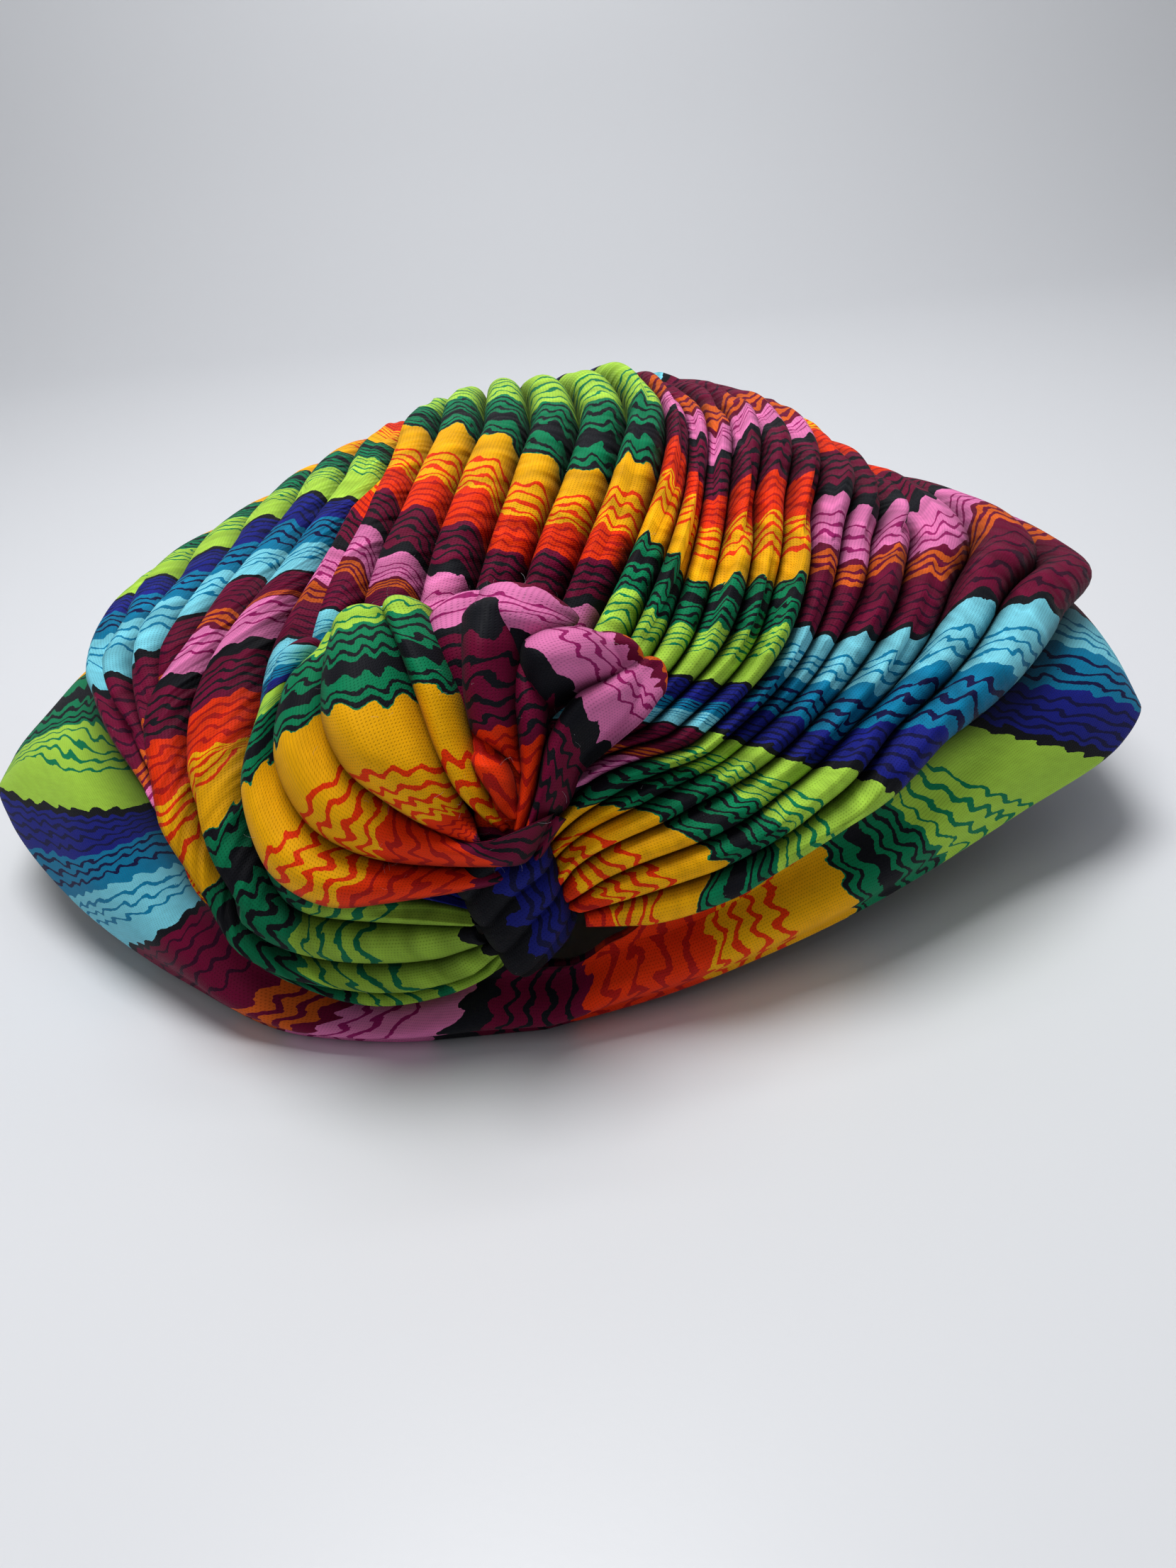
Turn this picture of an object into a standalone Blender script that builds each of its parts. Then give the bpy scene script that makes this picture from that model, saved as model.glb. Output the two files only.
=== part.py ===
"""A knotted jersey turban lying on its hem. Metres, +Z up, the knot faces -Y, and the origin is under its middle."""

import math
from bisect import bisect_right

import bmesh
import bpy
from mathutils import Vector

MM = 0.001
GAP = 0.35 * MM

# The rounded form under the folds is polar: a lean angle about the line from the front waist to the back seam,
# 0 to the right, 90 up and 180 to the left, and a share along that line from 0 at the waist to 1 at the back.
HALF_DEPTH = 104 * MM
POLE_RIGHT = -3.5 * MM
POLE_BACK = 5 * MM
POLE_HEIGHT = 28 * MM
CROWN_SAG = 8 * MM
CROWN_SHIFT = 4 * MM
FULLNESS = 0.8

# The last folds before the right-hand hem stand out in a corner.
CORNER_RISE = 6.5 * MM
CORNER_LEAN, CORNER_LEAN_SPREAD = 16, 7
CORNER_SHARE, CORNER_SHARE_SPREAD = 0.42, 0.15

# lean, reach from the centre line at mid depth (mm)
CROWN = [
    (0, 134),
    (8, 134),
    (20, 119),
    (32, 100.5),
    (47, 94.5),
    (64, 88.5),
    (84, 79),
    (104, 78.5),
    (125, 82),
    (143, 91.5),
    (155, 105),
    (166, 119),
    (175, 132),
    (180, 134),
]

# Where each fold's ridge, and the band's edge, leans in degrees at these shares of the way to the back.
FOLD_SHARES = (0.03, 0.08, 0.13, 0.21, 0.35, 0.45, 0.90)
# piece, waist, knot, low, side, crown, top, back
FOLDS = [
    ("hem_band", -8, 5, 10.8, 16.5, 16.5, 13, 14),
    ("lower_right_pleats", 2, 9, 13.5, 20, 20, 16, 18),
    ("lower_right_pleats", 20, 17, 21.5, 25, 24.5, 21.5, 25),
    ("lower_right_pleats", 41, 29, 27, 28.5, 28.5, 27.5, 31),
    ("lower_right_pleats", 62, 40, 34, 33, 33.5, 31.5, 37),
    ("lower_right_pleats", 74, 49, 37.5, 36.3, 38, 36, 43),
    ("lower_right_pleats", 88, 61, 41.5, 39.5, 43, 41.5, 49),
    ("upper_right_pleats", 102, 76, 47.5, 44.5, 47.5, 46, 56),
    ("upper_right_pleats", 110, 86, 54, 48.5, 51.8, 51, 62),
    ("upper_right_pleats", 117, 94, 60, 54.5, 56, 55.5, 67),
    ("upper_right_pleats", 123, 101, 66, 59.5, 60, 59.5, 72),
    ("upper_right_pleats", 128, 107, 73, 65, 63, 62.5, 76),
    ("upper_right_pleats", 132, 114, 82, 72, 66.5, 65.5, 79),
    ("crown_pleats", 136, 121, 93, 80.5, 71.8, 70, 84),
    ("crown_pleats", 140, 127, 102, 89, 79, 76.5, 89),
    ("crown_pleats", 144, 132, 110, 97, 86.5, 83.5, 93),
    ("crown_pleats", 148, 138, 118, 107, 95, 91.5, 97),
    ("crown_pleats", 152, 143, 127, 119, 104, 99, 101),
    ("crown_pleats", 156, 151, 139, 132, 112.5, 107, 105),
    ("left_pleats", 164, 167, 155, 142, 119, 113, 109),
    ("left_pleats", 184, 177, 164, 150, 126, 118.5, 116),
    ("left_pleats", 216, 193, 169, 154, 131, 122.5, 122),
    ("left_pleats", 230, 205, 172, 157.5, 136.5, 127, 129),
    ("left_pleats", 233, 208, 174, 159, 145, 138, 138),
    ("left_pleats", 234, 209, 175, 160, 151.5, 147, 147),
    ("left_pleats", 235, 210, 176, 161, 156.5, 155, 155),
    ("hem_band", 238, 212, 177, 162.3, 160, 161, 162),
]
WAIST_SHARE, BACK_SHARE = FOLD_SHARES[0], FOLD_SHARES[-1]
STATIONS = 17
FOLD_DEPTH = 4.8 * MM
FOLD_ROUNDNESS = 0.6
PLEAT_WALL = 1.6 * MM
CROWN_LAP = 2.0 * MM
# The share of a fold's half width that each column is from the crease, and its share of the fold's height.
FOLD_PROFILE = [(0.0, 0.0), (0.38, 0.78), (1.0, 1.0)]

# Where the hem lies, in mm: share, right x, y and z, left x, y and z.
HEM = [
    (0.00, -3.5, -94.5, 0, -3.5, -94.5, 0),
    (0.04, 18.5, -92, 3, -25.5, -94.5, 0),
    (0.08, 36.5, -88, 6, -49.5, -90, 0),
    (0.14, 60.5, -81, 11, -75.5, -75.5, 4),
    (0.21, 94.5, -66, 19, -103.5, -54, 12),
    (0.30, 122.5, -51, 25, -124.5, -29.5, 20),
    (0.36, 131, -40, 28, -131.5, -16, 23),
    (0.50, 135, -3, 25, -134.5, 13, 22),
    (0.70, 120.5, 55, 14, -122.5, 57, 14),
    (0.85, 88.5, 90, 4, -93.5, 89, 5),
    (0.93, 48.5, 107, 0, -55.5, 106, 0),
    (1.00, -3.5, 111, 0, -3.5, 111, 0),
]
BAND_WALL = 2 * MM
BAND_BELLY = 2.4 * MM
BAND_LIFT = 0.6 * MM
HEM_HALF_WIDTH = 135 * MM
HEM_HALF_DEPTH = 100 * MM
HEM_ROLL = 3 * MM
HEM_ROUND = 1 * MM
HEM_FOOT = 3 * MM
FRONT_SECTIONS = 5

WRAP_SHARES = (0.032, 0.023, 0.014, 0.006)
WRAP_COLUMNS = 24
WRAP_BULGE = 1.5 * MM
WRAP_CREASE = 0.8 * MM
WRAP_WALL = 1.4 * MM

# The knot is drawn on a plane that faces forwards and up, about the point where its folds meet.
KNOT_CENTRE = Vector((-3.5, -103, 53.5)) * MM
KNOT_TILT = math.radians(29)
KNOT_STAGES = (0.0, 0.22, 0.5, 0.75, 0.92)
# Each crease between two rolled folds, in mm (across, up, forward): root, low, belly, shoulder and rim.
KNOT_CREASES = [
    ((3, -6, -3), (-12, -14, -8), (-33, -14, -9), (-46, 4, -10), (-38, 31, -14)),
    ((1.5, -4, -1), (-10, -9.5, 1), (-30, -7, 0), (-42, 10, -4), (-34, 32, -10)),
    ((0, -3, 0), (-9, -4, 4), (-24, 5, 4), (-33.5, 17, 1), (-30, 34, -8)),
    ((-2, -1.5, 0), (-9, 2, 5), (-13.5, 11, 7), (-17.5, 22, 5), (-21.5, 38, -6)),
    ((-0.8, 0, -1), (-4.5, 5, 2), (-7, 13, 3), (-9.5, 22, 2), (-12, 38.5, -6)),
    ((0, 1, -2), (1, 7, -1), (1.2, 14, 1), (0.6, 24, 1), (0.5, 37, -6)),
    ((1, 1, -1), (3.6, 8, 1), (4.6, 15.5, 3), (3.6, 24, 2), (4, 38, -7)),
    ((1.6, 0.6, 0), (4.6, 8.5, 2), (6.5, 16, 4), (7.5, 25, 3), (12, 35, -8)),
    ((2.2, -0.5, 0), (6, 7.5, 2), (9.5, 15.5, 2), (14, 22, 0), (22, 27, -9)),
    ((3.5, -4, -3), (8.5, 2.5, -4), (15, 9, -6), (21, 14, -8), (28, 20, -12)),
]
KNOT_STATIONS = 12
KNOT_WALL = 2.4 * MM
KNOT_CLEAR = 0.45 * MM
KNOT_LOW_EDGE = 1.7 * MM
KNOT_FOLD_RISE = 0.42
KNOT_PROFILE = [(0.0, 0.0), (0.15, 0.55), (0.38, 0.88), (0.62, 0.88), (0.85, 0.55), (1.0, 0.0)]

COLOURS = {
    "hem_band": (0.62, 0.11, 0.30),
    "lower_right_pleats": (0.02, 0.21, 0.35),
    "upper_right_pleats": (0.68, 0.06, 0.01),
    "crown_pleats": (0.83, 0.43, 0.01),
    "left_pleats": (0.30, 0.58, 0.03),
    "waist_wrap": (0.02, 0.02, 0.23),
}
KNOT_COLOURS = [(0.83, 0.43, 0.01), (0.01, 0.23, 0.09), (0.62, 0.16, 0.37)]


def read_rows(rows, at):
    """Every column after the first at a key between the rows, on a smooth curve that never overshoots."""
    keys = [row[0] for row in rows]
    at = min(max(at, keys[0]), keys[-1])
    low = min(bisect_right(keys, at) - 1, len(keys) - 2)

    def slope(i):
        return [(b - a) / (keys[i + 1] - keys[i]) for a, b in zip(rows[i][1:], rows[i + 1][1:])]

    def tangent(i):
        if i == 0 or i == len(keys) - 1:
            return slope(min(i, len(keys) - 2))
        pairs = zip(slope(i - 1), slope(i))
        return [2 * a * b / (a + b) if a * b > 0 else 0 for a, b in pairs]

    span = keys[low + 1] - keys[low]
    t = (at - keys[low]) / span
    weights = (2 * t**3 - 3 * t**2 + 1, t**3 - 2 * t**2 + t, 3 * t**2 - 2 * t**3, t**3 - t**2)
    columns = zip(rows[low][1:], tangent(low), rows[low + 1][1:], tangent(low + 1))
    return [
        weights[0] * a + weights[1] * span * slope_a + weights[2] * b + weights[3] * span * slope_b
        for a, slope_a, b, slope_b in columns
    ]


def smooth_step(start, end, at):
    t = min(max((at - start) / (end - start), 0), 1)
    return t * t * (3 - 2 * t)


def reach(lean):
    """The form's radius at mid depth: the part under the centre line repeats the part above it."""
    return read_rows(CROWN, abs((lean + 180) % 360 - 180))[0] * MM


def centre_line(share):
    middle, end = math.sin(math.pi * share), math.cos(math.pi * share)
    return Vector((POLE_RIGHT + CROWN_SHIFT * middle, POLE_BACK - HALF_DEPTH * end, POLE_HEIGHT - CROWN_SAG * middle))


def radius(lean, share):
    off_lean = (lean - CORNER_LEAN) / CORNER_LEAN_SPREAD
    off_share = (share - CORNER_SHARE) / CORNER_SHARE_SPREAD
    corner = CORNER_RISE * math.exp(-(off_lean**2) - off_share**2)
    return reach(lean) * math.sin(math.pi * share) ** FULLNESS + corner


def form(lean, share):
    """A point of the rounded form that the folds' ridges reach."""
    angle = math.radians(lean)
    return centre_line(share) + radius(lean, share) * Vector((math.cos(angle), 0, math.sin(angle)))


def outward(lean, share):
    step_lean, step_share = 3, 0.002
    along = form(lean, share + step_share) - form(lean, share - step_share)
    across = form(lean + step_lean, share) - form(lean - step_lean, share)
    return along.cross(across).normalized()


def fold_leans(share):
    return [read_rows(list(zip(FOLD_SHARES, row[1:])), share)[0] for row in FOLDS]


def crease_lean(leans, fold, beside):
    """Where a fold ends: half way to the next ridge, or on the band's own edge."""
    return leans[beside] if FOLDS[beside][0] == "hem_band" else (leans[fold] + leans[beside]) / 2


def fold_depth(share):
    """Folds are shallow where they are pinched, full over the crown and fade towards the back."""
    pinch = min(1, share / 0.12) ** 0.7
    return FOLD_DEPTH * pinch * (1 - 0.75 * smooth_step(0.50, BACK_SHARE, share))


def lap(piece, share):
    return CROWN_LAP * smooth_step(0.23, 0.32, share) if piece == "crown_pleats" else 0


def stations():
    steps = STATIONS - 1
    return [WAIST_SHARE + (BACK_SHARE - WAIST_SHARE) * (i / steps) ** 1.2 for i in range(STATIONS)]


def add_object(name, mesh_builder, colour):
    mesh = bpy.data.meshes.new(name)
    mesh_builder.to_mesh(mesh)
    mesh_builder.free()
    thing = bpy.data.objects.new(name, mesh)
    bpy.data.collections["turban"].objects.link(thing)
    material = bpy.data.materials.new(name)
    material.use_nodes = True
    shader = material.node_tree.nodes["Principled BSDF"]
    shader.inputs["Base Color"].default_value = (*colour, 1)
    shader.inputs["Roughness"].default_value = 0.85
    shader.inputs["Metallic"].default_value = 0
    mesh.materials.append(material)
    mesh.shade_smooth()
    mesh.set_sharp_from_angle(angle=math.radians(50))
    return thing


def sheet(name, outer, inner, colour):
    """A closed wall between two grids of points, with its four edges."""
    built = bmesh.new()
    skins = [[[built.verts.new(point) for point in row] for row in grid] for grid in (outer, inner)]
    for grid in skins:
        for row, after in zip(grid, grid[1:]):
            for a, b, c, d in zip(row, row[1:], after[1:], after):
                built.faces.new((a, b, c, d))
    borders = []
    for grid in skins:
        right = [row[-1] for row in grid]
        left = [row[0] for row in grid]
        borders.append(grid[0] + right[1:] + grid[-1][-2::-1] + left[-2:0:-1])
    for i, (a, b) in enumerate(zip(*borders)):
        after = (i + 1) % len(borders[0])
        built.faces.new((a, borders[0][after], borders[1][after], b))
    bmesh.ops.recalc_face_normals(built, faces=built.faces)
    return add_object(name, built, colour)


def ring(name, sections, colour):
    """A closed tube of sections that meets itself."""
    built = bmesh.new()
    loops = [[built.verts.new(point) for point in section] for section in sections]
    for loop, after in zip(loops, loops[1:] + loops[:1]):
        for a, b, c, d in zip(loop, loop[1:] + loop[:1], after[1:] + after[:1], after):
            built.faces.new((a, b, c, d))
    bmesh.ops.recalc_face_normals(built, faces=built.faces)
    return add_object(name, built, colour)


def pleat_row(piece, share):
    """One station of a group of folds: its outer and inner points, from crease to crease."""
    leans = fold_leans(share)
    members = [i for i, row in enumerate(FOLDS) if row[0] == piece]
    columns = []
    for i in members:
        rising = FOLD_PROFILE if i == members[0] else FOLD_PROFILE[1:]
        for beside, profile in ((i - 1, rising), (i + 1, FOLD_PROFILE[-2::-1])):
            crease = crease_lean(leans, i, beside)
            width = math.radians(abs(leans[i] - crease)) * radius(leans[i], share)
            rise = min(fold_depth(share), 2 * FOLD_ROUNDNESS * width)
            columns += [(crease + (leans[i] - crease) * part, rise * height) for part, height in profile]
    outer, inner = [], []
    for number, (lean, rise) in enumerate(columns):
        edge = 1 if number == 0 else -1 if number == len(columns) - 1 else 0
        lean += math.degrees(edge * GAP / 2 / radius(lean, share))
        normal = outward(lean, share)
        point = form(lean, share) + normal * (rise + lap(piece, share) - fold_depth(share))
        outer.append(point)
        inner.append(point - normal * PLEAT_WALL)
    return outer, inner


def make_pleats(piece):
    rows = [pleat_row(piece, share) for share in stations()]
    sheet(piece, [row[0] for row in rows], [row[1] for row in rows], COLOURS[piece])


def hem_point(side, share):
    values = read_rows(HEM, share)
    return Vector(values[:3] if side == "right" else values[3:]) * MM


def band_section(lean, share, hem):
    """The band's section from its top edge, under the folds, down to the rolled hem and back up inside."""
    normal = outward(lean, share)
    out = Vector((hem.x / HEM_HALF_WIDTH**2, hem.y / HEM_HALF_DEPTH**2, 0)).normalized()
    up = Vector((0, 0, 1))
    top = form(lean, share) - normal * fold_depth(share)
    foot = hem + up * HEM_ROLL
    inner_foot = hem - out * (HEM_FOOT + 2 * HEM_ROUND) + up * HEM_ROLL
    inner_top = top - normal * BAND_WALL

    def wall(start, end, parts):
        belly = out * BAND_BELLY + up * BAND_LIFT
        return [start.lerp(end, part) + belly * math.sin(math.pi * part) for part in parts]

    outside = wall(top, foot, (0, 0.25, 0.5, 0.75, 1))
    under = [hem - out * HEM_ROUND, hem - out * (HEM_ROUND + HEM_FOOT)]
    inside = wall(inner_foot, inner_top, (0, 0.33, 0.67, 1))
    return outside + under + inside


def band_sections():
    """The band's sections all round. Its top edge stays a gap away from the folds and the waist wrap."""
    away = 2 * GAP / (math.pi * HALF_DEPTH)
    sides = {}
    for side, row, turn in (("right", 0, -1), ("left", len(FOLDS) - 1, 1)):
        sides[side] = []
        for share in stations():
            lean = fold_leans(share)[row]
            lean += turn * math.degrees(GAP / radius(lean, share))
            sides[side].append((lean, share, hem_point(side, share)))
        lean, share, hem = sides[side][-1]
        sides[side][-1] = (lean, share + away, hem)
    back = []
    leans = fold_leans(BACK_SHARE)
    for fold in range(1, len(FOLDS) - 2):
        lean = crease_lean(leans, fold, fold + 1)
        across = (lean - leans[0]) / (leans[-1] - leans[0])
        share = BACK_SHARE + (1 - BACK_SHARE) * (1 - abs(1 - 2 * across))
        back.append((lean, BACK_SHARE + away, hem_point("right" if across < 0.5 else "left", share)))
    front = []
    start, end = sides["left"][0][0], sides["right"][0][0] + 360
    for number in range(1, FRONT_SECTIONS + 1):
        across = number / (FRONT_SECTIONS + 1)
        share = WAIST_SHARE * abs(1 - 2 * across)
        lean = start + (end - start) * across
        front.append((lean, WAIST_SHARE + away, hem_point("left" if across < 0.5 else "right", share)))
    return sides["right"] + back + sides["left"][::-1] + front


def make_band():
    ring("hem_band", [band_section(*section) for section in band_sections()], COLOURS["hem_band"])


def make_wrap():
    """The pinched cloth over the front pole: a small creased cap that laps over the folds' ends."""
    built = bmesh.new()
    rims = []
    for depth in (WRAP_WALL + GAP, GAP):
        rings = []
        for share in WRAP_SHARES:
            inwards = 1 - (share / WRAP_SHARES[0]) ** 2
            loop = []
            for column in range(WRAP_COLUMNS):
                lean = 360 * column / WRAP_COLUMNS
                raised = depth + WRAP_BULGE * inwards - WRAP_CREASE * (column % 2) * inwards
                loop.append(built.verts.new(form(lean, share) + outward(lean, share) * raised))
            rings.append(loop)
        for loop, after in zip(rings, rings[1:]):
            for a, b, c, d in zip(loop, loop[1:] + loop[:1], after[1:] + after[:1], after):
                built.faces.new((a, b, c, d))
        tip = built.verts.new(form(90, 0) - Vector((0, depth + WRAP_BULGE, 0)))
        for a, b in zip(rings[-1], rings[-1][1:] + rings[-1][:1]):
            built.faces.new((a, b, tip))
        rims.append(rings[0])
    for a, b, c, d in zip(rims[0], rims[0][1:] + rims[0][:1], rims[1][1:] + rims[1][:1], rims[1]):
        built.faces.new((a, b, c, d))
    bmesh.ops.recalc_face_normals(built, faces=built.faces)
    add_object("waist_wrap", built, COLOURS["waist_wrap"])


KNOT_RIGHT = Vector((1, 0, 0))
KNOT_UP = Vector((0, math.sin(KNOT_TILT), math.cos(KNOT_TILT)))
KNOT_FORWARD = Vector((0, -math.cos(KNOT_TILT), math.sin(KNOT_TILT)))


def outside_form(point):
    """How far a point is outside the rounded form, measured from its centre line."""
    depth = (POLE_BACK - point.y) / HALF_DEPTH
    if abs(depth) >= 1:
        return HALF_DEPTH
    share = math.acos(depth) / math.pi
    away = point - centre_line(share)
    return away.length - radius(math.degrees(math.atan2(away.z, away.x)), share)


def form_behind(point):
    """How far behind a point, along the knot's line of sight, the form's surface is."""
    near, far = -40 * MM, 60 * MM
    for _ in range(30):
        middle = (near + far) / 2
        if outside_form(point - KNOT_FORWARD * middle) > 0:
            near = middle
        else:
            far = middle
    return near


def crease_point(crease, stage):
    rows = [(key, *point) for key, point in zip(KNOT_STAGES, crease)]
    return Vector(read_rows(rows, min(stage, KNOT_STAGES[-1]))) * MM


def knot_point(across, up, forward):
    """A point of the knot's outer skin, never nearer to the folds below than its low edge."""
    flat = KNOT_CENTRE + KNOT_RIGHT * across + KNOT_UP * up
    behind = form_behind(flat)
    return flat, max(forward, KNOT_LOW_EDGE - behind), KNOT_CLEAR - behind


def make_rose_fold(number, low_crease, high_crease):
    """A rolled fold between two creases: it rises from the middle of the knot, rounds over and tucks in behind."""
    outer, inner = [], []
    for step in range(KNOT_STATIONS + 1):
        stage = step / KNOT_STATIONS
        a, b = crease_point(low_crease, stage), crease_point(high_crease, stage)
        width = (b - a).length
        tuck = smooth_step(KNOT_STAGES[-1], 1, stage)
        outer_row, inner_row = [], []
        for part, height in KNOT_PROFILE:
            part = min(max(part, GAP / 2 / width), 1 - GAP / 2 / width)
            across, up, forward = a.lerp(b, part)
            forward += KNOT_FOLD_RISE * width * height
            flat, front, floor = knot_point(across, up, forward)
            front += (floor + KNOT_LOW_EDGE - KNOT_CLEAR - front) * tuck
            back = max(front - KNOT_WALL, floor)
            outer_row.append(flat + KNOT_FORWARD * front)
            inner_row.append(flat + KNOT_FORWARD * back)
        outer.append(outer_row)
        inner.append(inner_row)
    sheet(f"rose_fold_{number}", outer, inner, KNOT_COLOURS[number % len(KNOT_COLOURS)])


def make_rose():
    for number, (low, high) in enumerate(zip(KNOT_CREASES, KNOT_CREASES[1:]), 1):
        make_rose_fold(number, low, high)


def main():
    for thing in list(bpy.data.objects):
        bpy.data.objects.remove(thing, do_unlink=True)
    parts = bpy.data.collections.new("turban")
    bpy.context.scene.collection.children.link(parts)
    make_band()
    for piece in ("lower_right_pleats", "upper_right_pleats", "crown_pleats", "left_pleats"):
        make_pleats(piece)
    make_wrap()
    make_rose()


main()
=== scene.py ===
import math

import bmesh
import bpy
import numpy as np
from mathutils import Matrix, Vector


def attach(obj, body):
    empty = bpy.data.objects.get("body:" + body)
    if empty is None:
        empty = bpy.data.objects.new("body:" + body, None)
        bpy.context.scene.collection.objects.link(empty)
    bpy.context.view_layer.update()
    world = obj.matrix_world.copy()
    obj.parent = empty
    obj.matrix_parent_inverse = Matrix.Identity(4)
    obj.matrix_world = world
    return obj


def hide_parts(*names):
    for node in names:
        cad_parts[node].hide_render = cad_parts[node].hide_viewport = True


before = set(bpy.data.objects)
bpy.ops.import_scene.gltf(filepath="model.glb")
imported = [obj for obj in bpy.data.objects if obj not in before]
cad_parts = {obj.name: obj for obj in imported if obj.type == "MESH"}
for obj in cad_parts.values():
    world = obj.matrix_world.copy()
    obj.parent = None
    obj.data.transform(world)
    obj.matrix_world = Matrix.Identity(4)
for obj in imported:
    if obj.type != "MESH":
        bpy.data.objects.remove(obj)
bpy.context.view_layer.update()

mm = 0.001
print("frame loaded:", len(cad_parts), "nodes")


def addObject(name, data):
    thing = bpy.data.objects.new(name, data)
    bpy.context.scene.collection.objects.link(thing)
    return thing


# camera: a phone's lens, above the floor and looking down at the knot
cameraView = {
    "place": (0.009, -0.260, 0.145),
    "lens": 26,
    "turn": ((0.99549, 0.09486, 0), (-0.04599, 0.48263, -0.87462), (-0.08297, 0.87067, 0.48482)),
}
cameraData = bpy.data.cameras.new("camera")
cameraData.lens = cameraView["lens"]
cameraData.sensor_width = 36
cameraData.clip_start = 0.01
camera = addObject("camera", cameraData)
camera.matrix_world = Matrix.Translation(cameraView["place"]) @ Matrix(cameraView["turn"]).to_4x4()
bpy.context.scene.camera = camera


# node helpers
def newMaterial(name):
    material = bpy.data.materials.new(name)
    material.use_nodes = True
    material.node_tree.nodes.clear()
    return material


def addNode(tree, kind, inputs=(), **settings):
    node = tree.nodes.new(kind)
    for key, value in settings.items():
        setattr(node, key, value)
    for key, value in dict(inputs).items():
        socket = node.inputs[key]
        if isinstance(value, bpy.types.NodeSocket):
            tree.links.new(value, socket)
        else:
            socket.default_value = value
    return node


def maths(tree, operation, a, b=0.0, c=0.0):
    return addNode(tree, "ShaderNodeMath", {0: a, 1: b, 2: c}, operation=operation).outputs[0]


def plus(tree, a, b):
    return maths(tree, "ADD", a, b)


def times(tree, a, b):
    return maths(tree, "MULTIPLY", a, b)


def attribute(tree, name):
    return addNode(tree, "ShaderNodeAttribute", attribute_name=name).outputs["Fac"]


def shadeWith(material, values):
    shader = addNode(material.node_tree, "ShaderNodeBsdfPrincipled", values)
    addNode(material.node_tree, "ShaderNodeOutputMaterial", {"Surface": shader.outputs[0]})
    return material


def linear(red, green, blue):    # a screen colour, 0 to 255, as the renderer's own values
    values = [part / 255 for part in (red, green, blue)]
    return tuple(v / 12.92 if v < 0.04045 else ((v + 0.055) / 1.055) ** 2.4 for v in values) + (1.0,)


# the printed stripes, in mm along the cloth: where each band starts, and where each thin line lies
dyes = {
    "lime": linear(170, 214, 70),
    "leaf": linear(0, 124, 80),
    "ink": linear(16, 17, 24),
    "yellow": linear(246, 176, 0),
    "flame": linear(234, 52, 0),
    "brick": linear(178, 22, 14),
    "burgundy": linear(108, 4, 48),
    "pink": linear(224, 120, 176),
    "magenta": linear(150, 22, 98),
    "rust": linear(212, 92, 26),
    "sky": linear(120, 206, 224),
    "teal": linear(2, 122, 164),
    "navy": linear(22, 30, 128),
    "darkNavy": linear(12, 14, 66),
    "plum": linear(52, 2, 34),
}
stripes = {
    "repeat": 280,
    "bands": [
        (0, "lime"), (41, "leaf"), (63, "yellow"), (92, "flame"), (113, "burgundy"), (133.5, "ink"), (139.5, "pink"),
        (163, "burgundy"), (166, "rust"), (176.5, "burgundy"), (208.5, "ink"), (211.5, "sky"), (238, "teal"),
        (256, "navy"), (276, "ink"),
    ],
    "lines": {    # where each line's middle is, and how wide it is
        "leaf": [(22.5, 1.5), (28.0, 1.6), (33.5, 1.6), (38.0, 1.1)],
        "ink": [
            (43.2, 1.0), (46.6, 1.2), (50.0, 1.0), (54.2, 4.2), (59.6, 0.9), (62.3, 1.2), (116.6, 1.4),
            (121.2, 1.6), (125.6, 1.5), (129.8, 1.3),
        ],
        "flame": [(77.0, 1.7), (81.6, 1.6), (86.0, 1.5), (89.8, 1.2)],
        "brick": [(96.0, 1.4), (100.4, 1.5), (104.8, 1.4), (109.0, 1.5)],
        "magenta": [(149.6, 1.2), (154.2, 1.4), (158.6, 1.4)],
        "burgundy": [(168.9, 1.5), (173.0, 1.6)],
        "plum": [(183.0, 1.2), (188.5, 1.3), (194.0, 1.4), (199.5, 1.4), (204.5, 1.3)],
        "teal": [(223.6, 1.3), (228.4, 1.4), (233.0, 1.4)],
        "darkNavy": [
            (243.6, 1.3), (248.2, 1.5), (252.6, 1.3), (260.4, 1.4), (265.0, 1.5), (269.4, 1.5), (273.4, 1.4),
        ],
    },
    "rampEdges": (0, 76, 137, 206, 280),    # a colour ramp holds 32 stops, so the repeat is cut in four
    "waveLength": 6.0, "waveHeight": 1.75, "drift": 2.6, "unevenHeight": 1.6, "wander": 3.0, "steps": 1.0,
}
knit = {
    "wale": 0.66, "course": 0.56, "loop": 0.085, "loopShade": (0.74, 1.04), "mottle": 0.3,    # wale and course in mm
    "depth": 0.14 * mm, "strength": 0.55, "fuzz": 0.5, "roughness": 0.68, "unevenRoughness": 0.3,
    # the gather shade value is painted shade: the colour darker between the gathers
    "gatherScale": (230, 50, 1), "gatherDepth": 26.0, "gatherShade": 1.1,
    "sheen": 0.02, "sheenRoughness": 0.4, "specular": 0.12,
}


def bandAt(place):
    return [dye for start, dye in stripes["bands"] if start <= place][-1]


def stripeRamp(tree, place, start, end):
    stops = [(start, bandAt(start))] + [(at, dye) for at, dye in stripes["bands"] if start < at < end]
    lines = [(*line, dye) for dye, group in stripes["lines"].items() for line in group]
    for middle, width, dye in lines:
        if start <= middle < end:
            stops += [(middle - width / 2, dye), (middle + width / 2, bandAt(middle + width / 2))]
    stops.sort(key=lambda stop: stop[0])
    factor = addNode(tree, "ShaderNodeMapRange", {"Value": place, "From Min": start, "From Max": end}).outputs[0]
    ramp = addNode(tree, "ShaderNodeValToRGB", {"Fac": factor})
    ramp.color_ramp.interpolation = "CONSTANT"
    points = ramp.color_ramp.elements
    points.remove(points[1])
    points[0].position = 0
    points[0].color = dyes[stops[0][1]]
    for at, dye in stops[1:]:
        points.new((at - start) / (end - start)).color = dyes[dye]
    return ramp.outputs["Color"]


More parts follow.
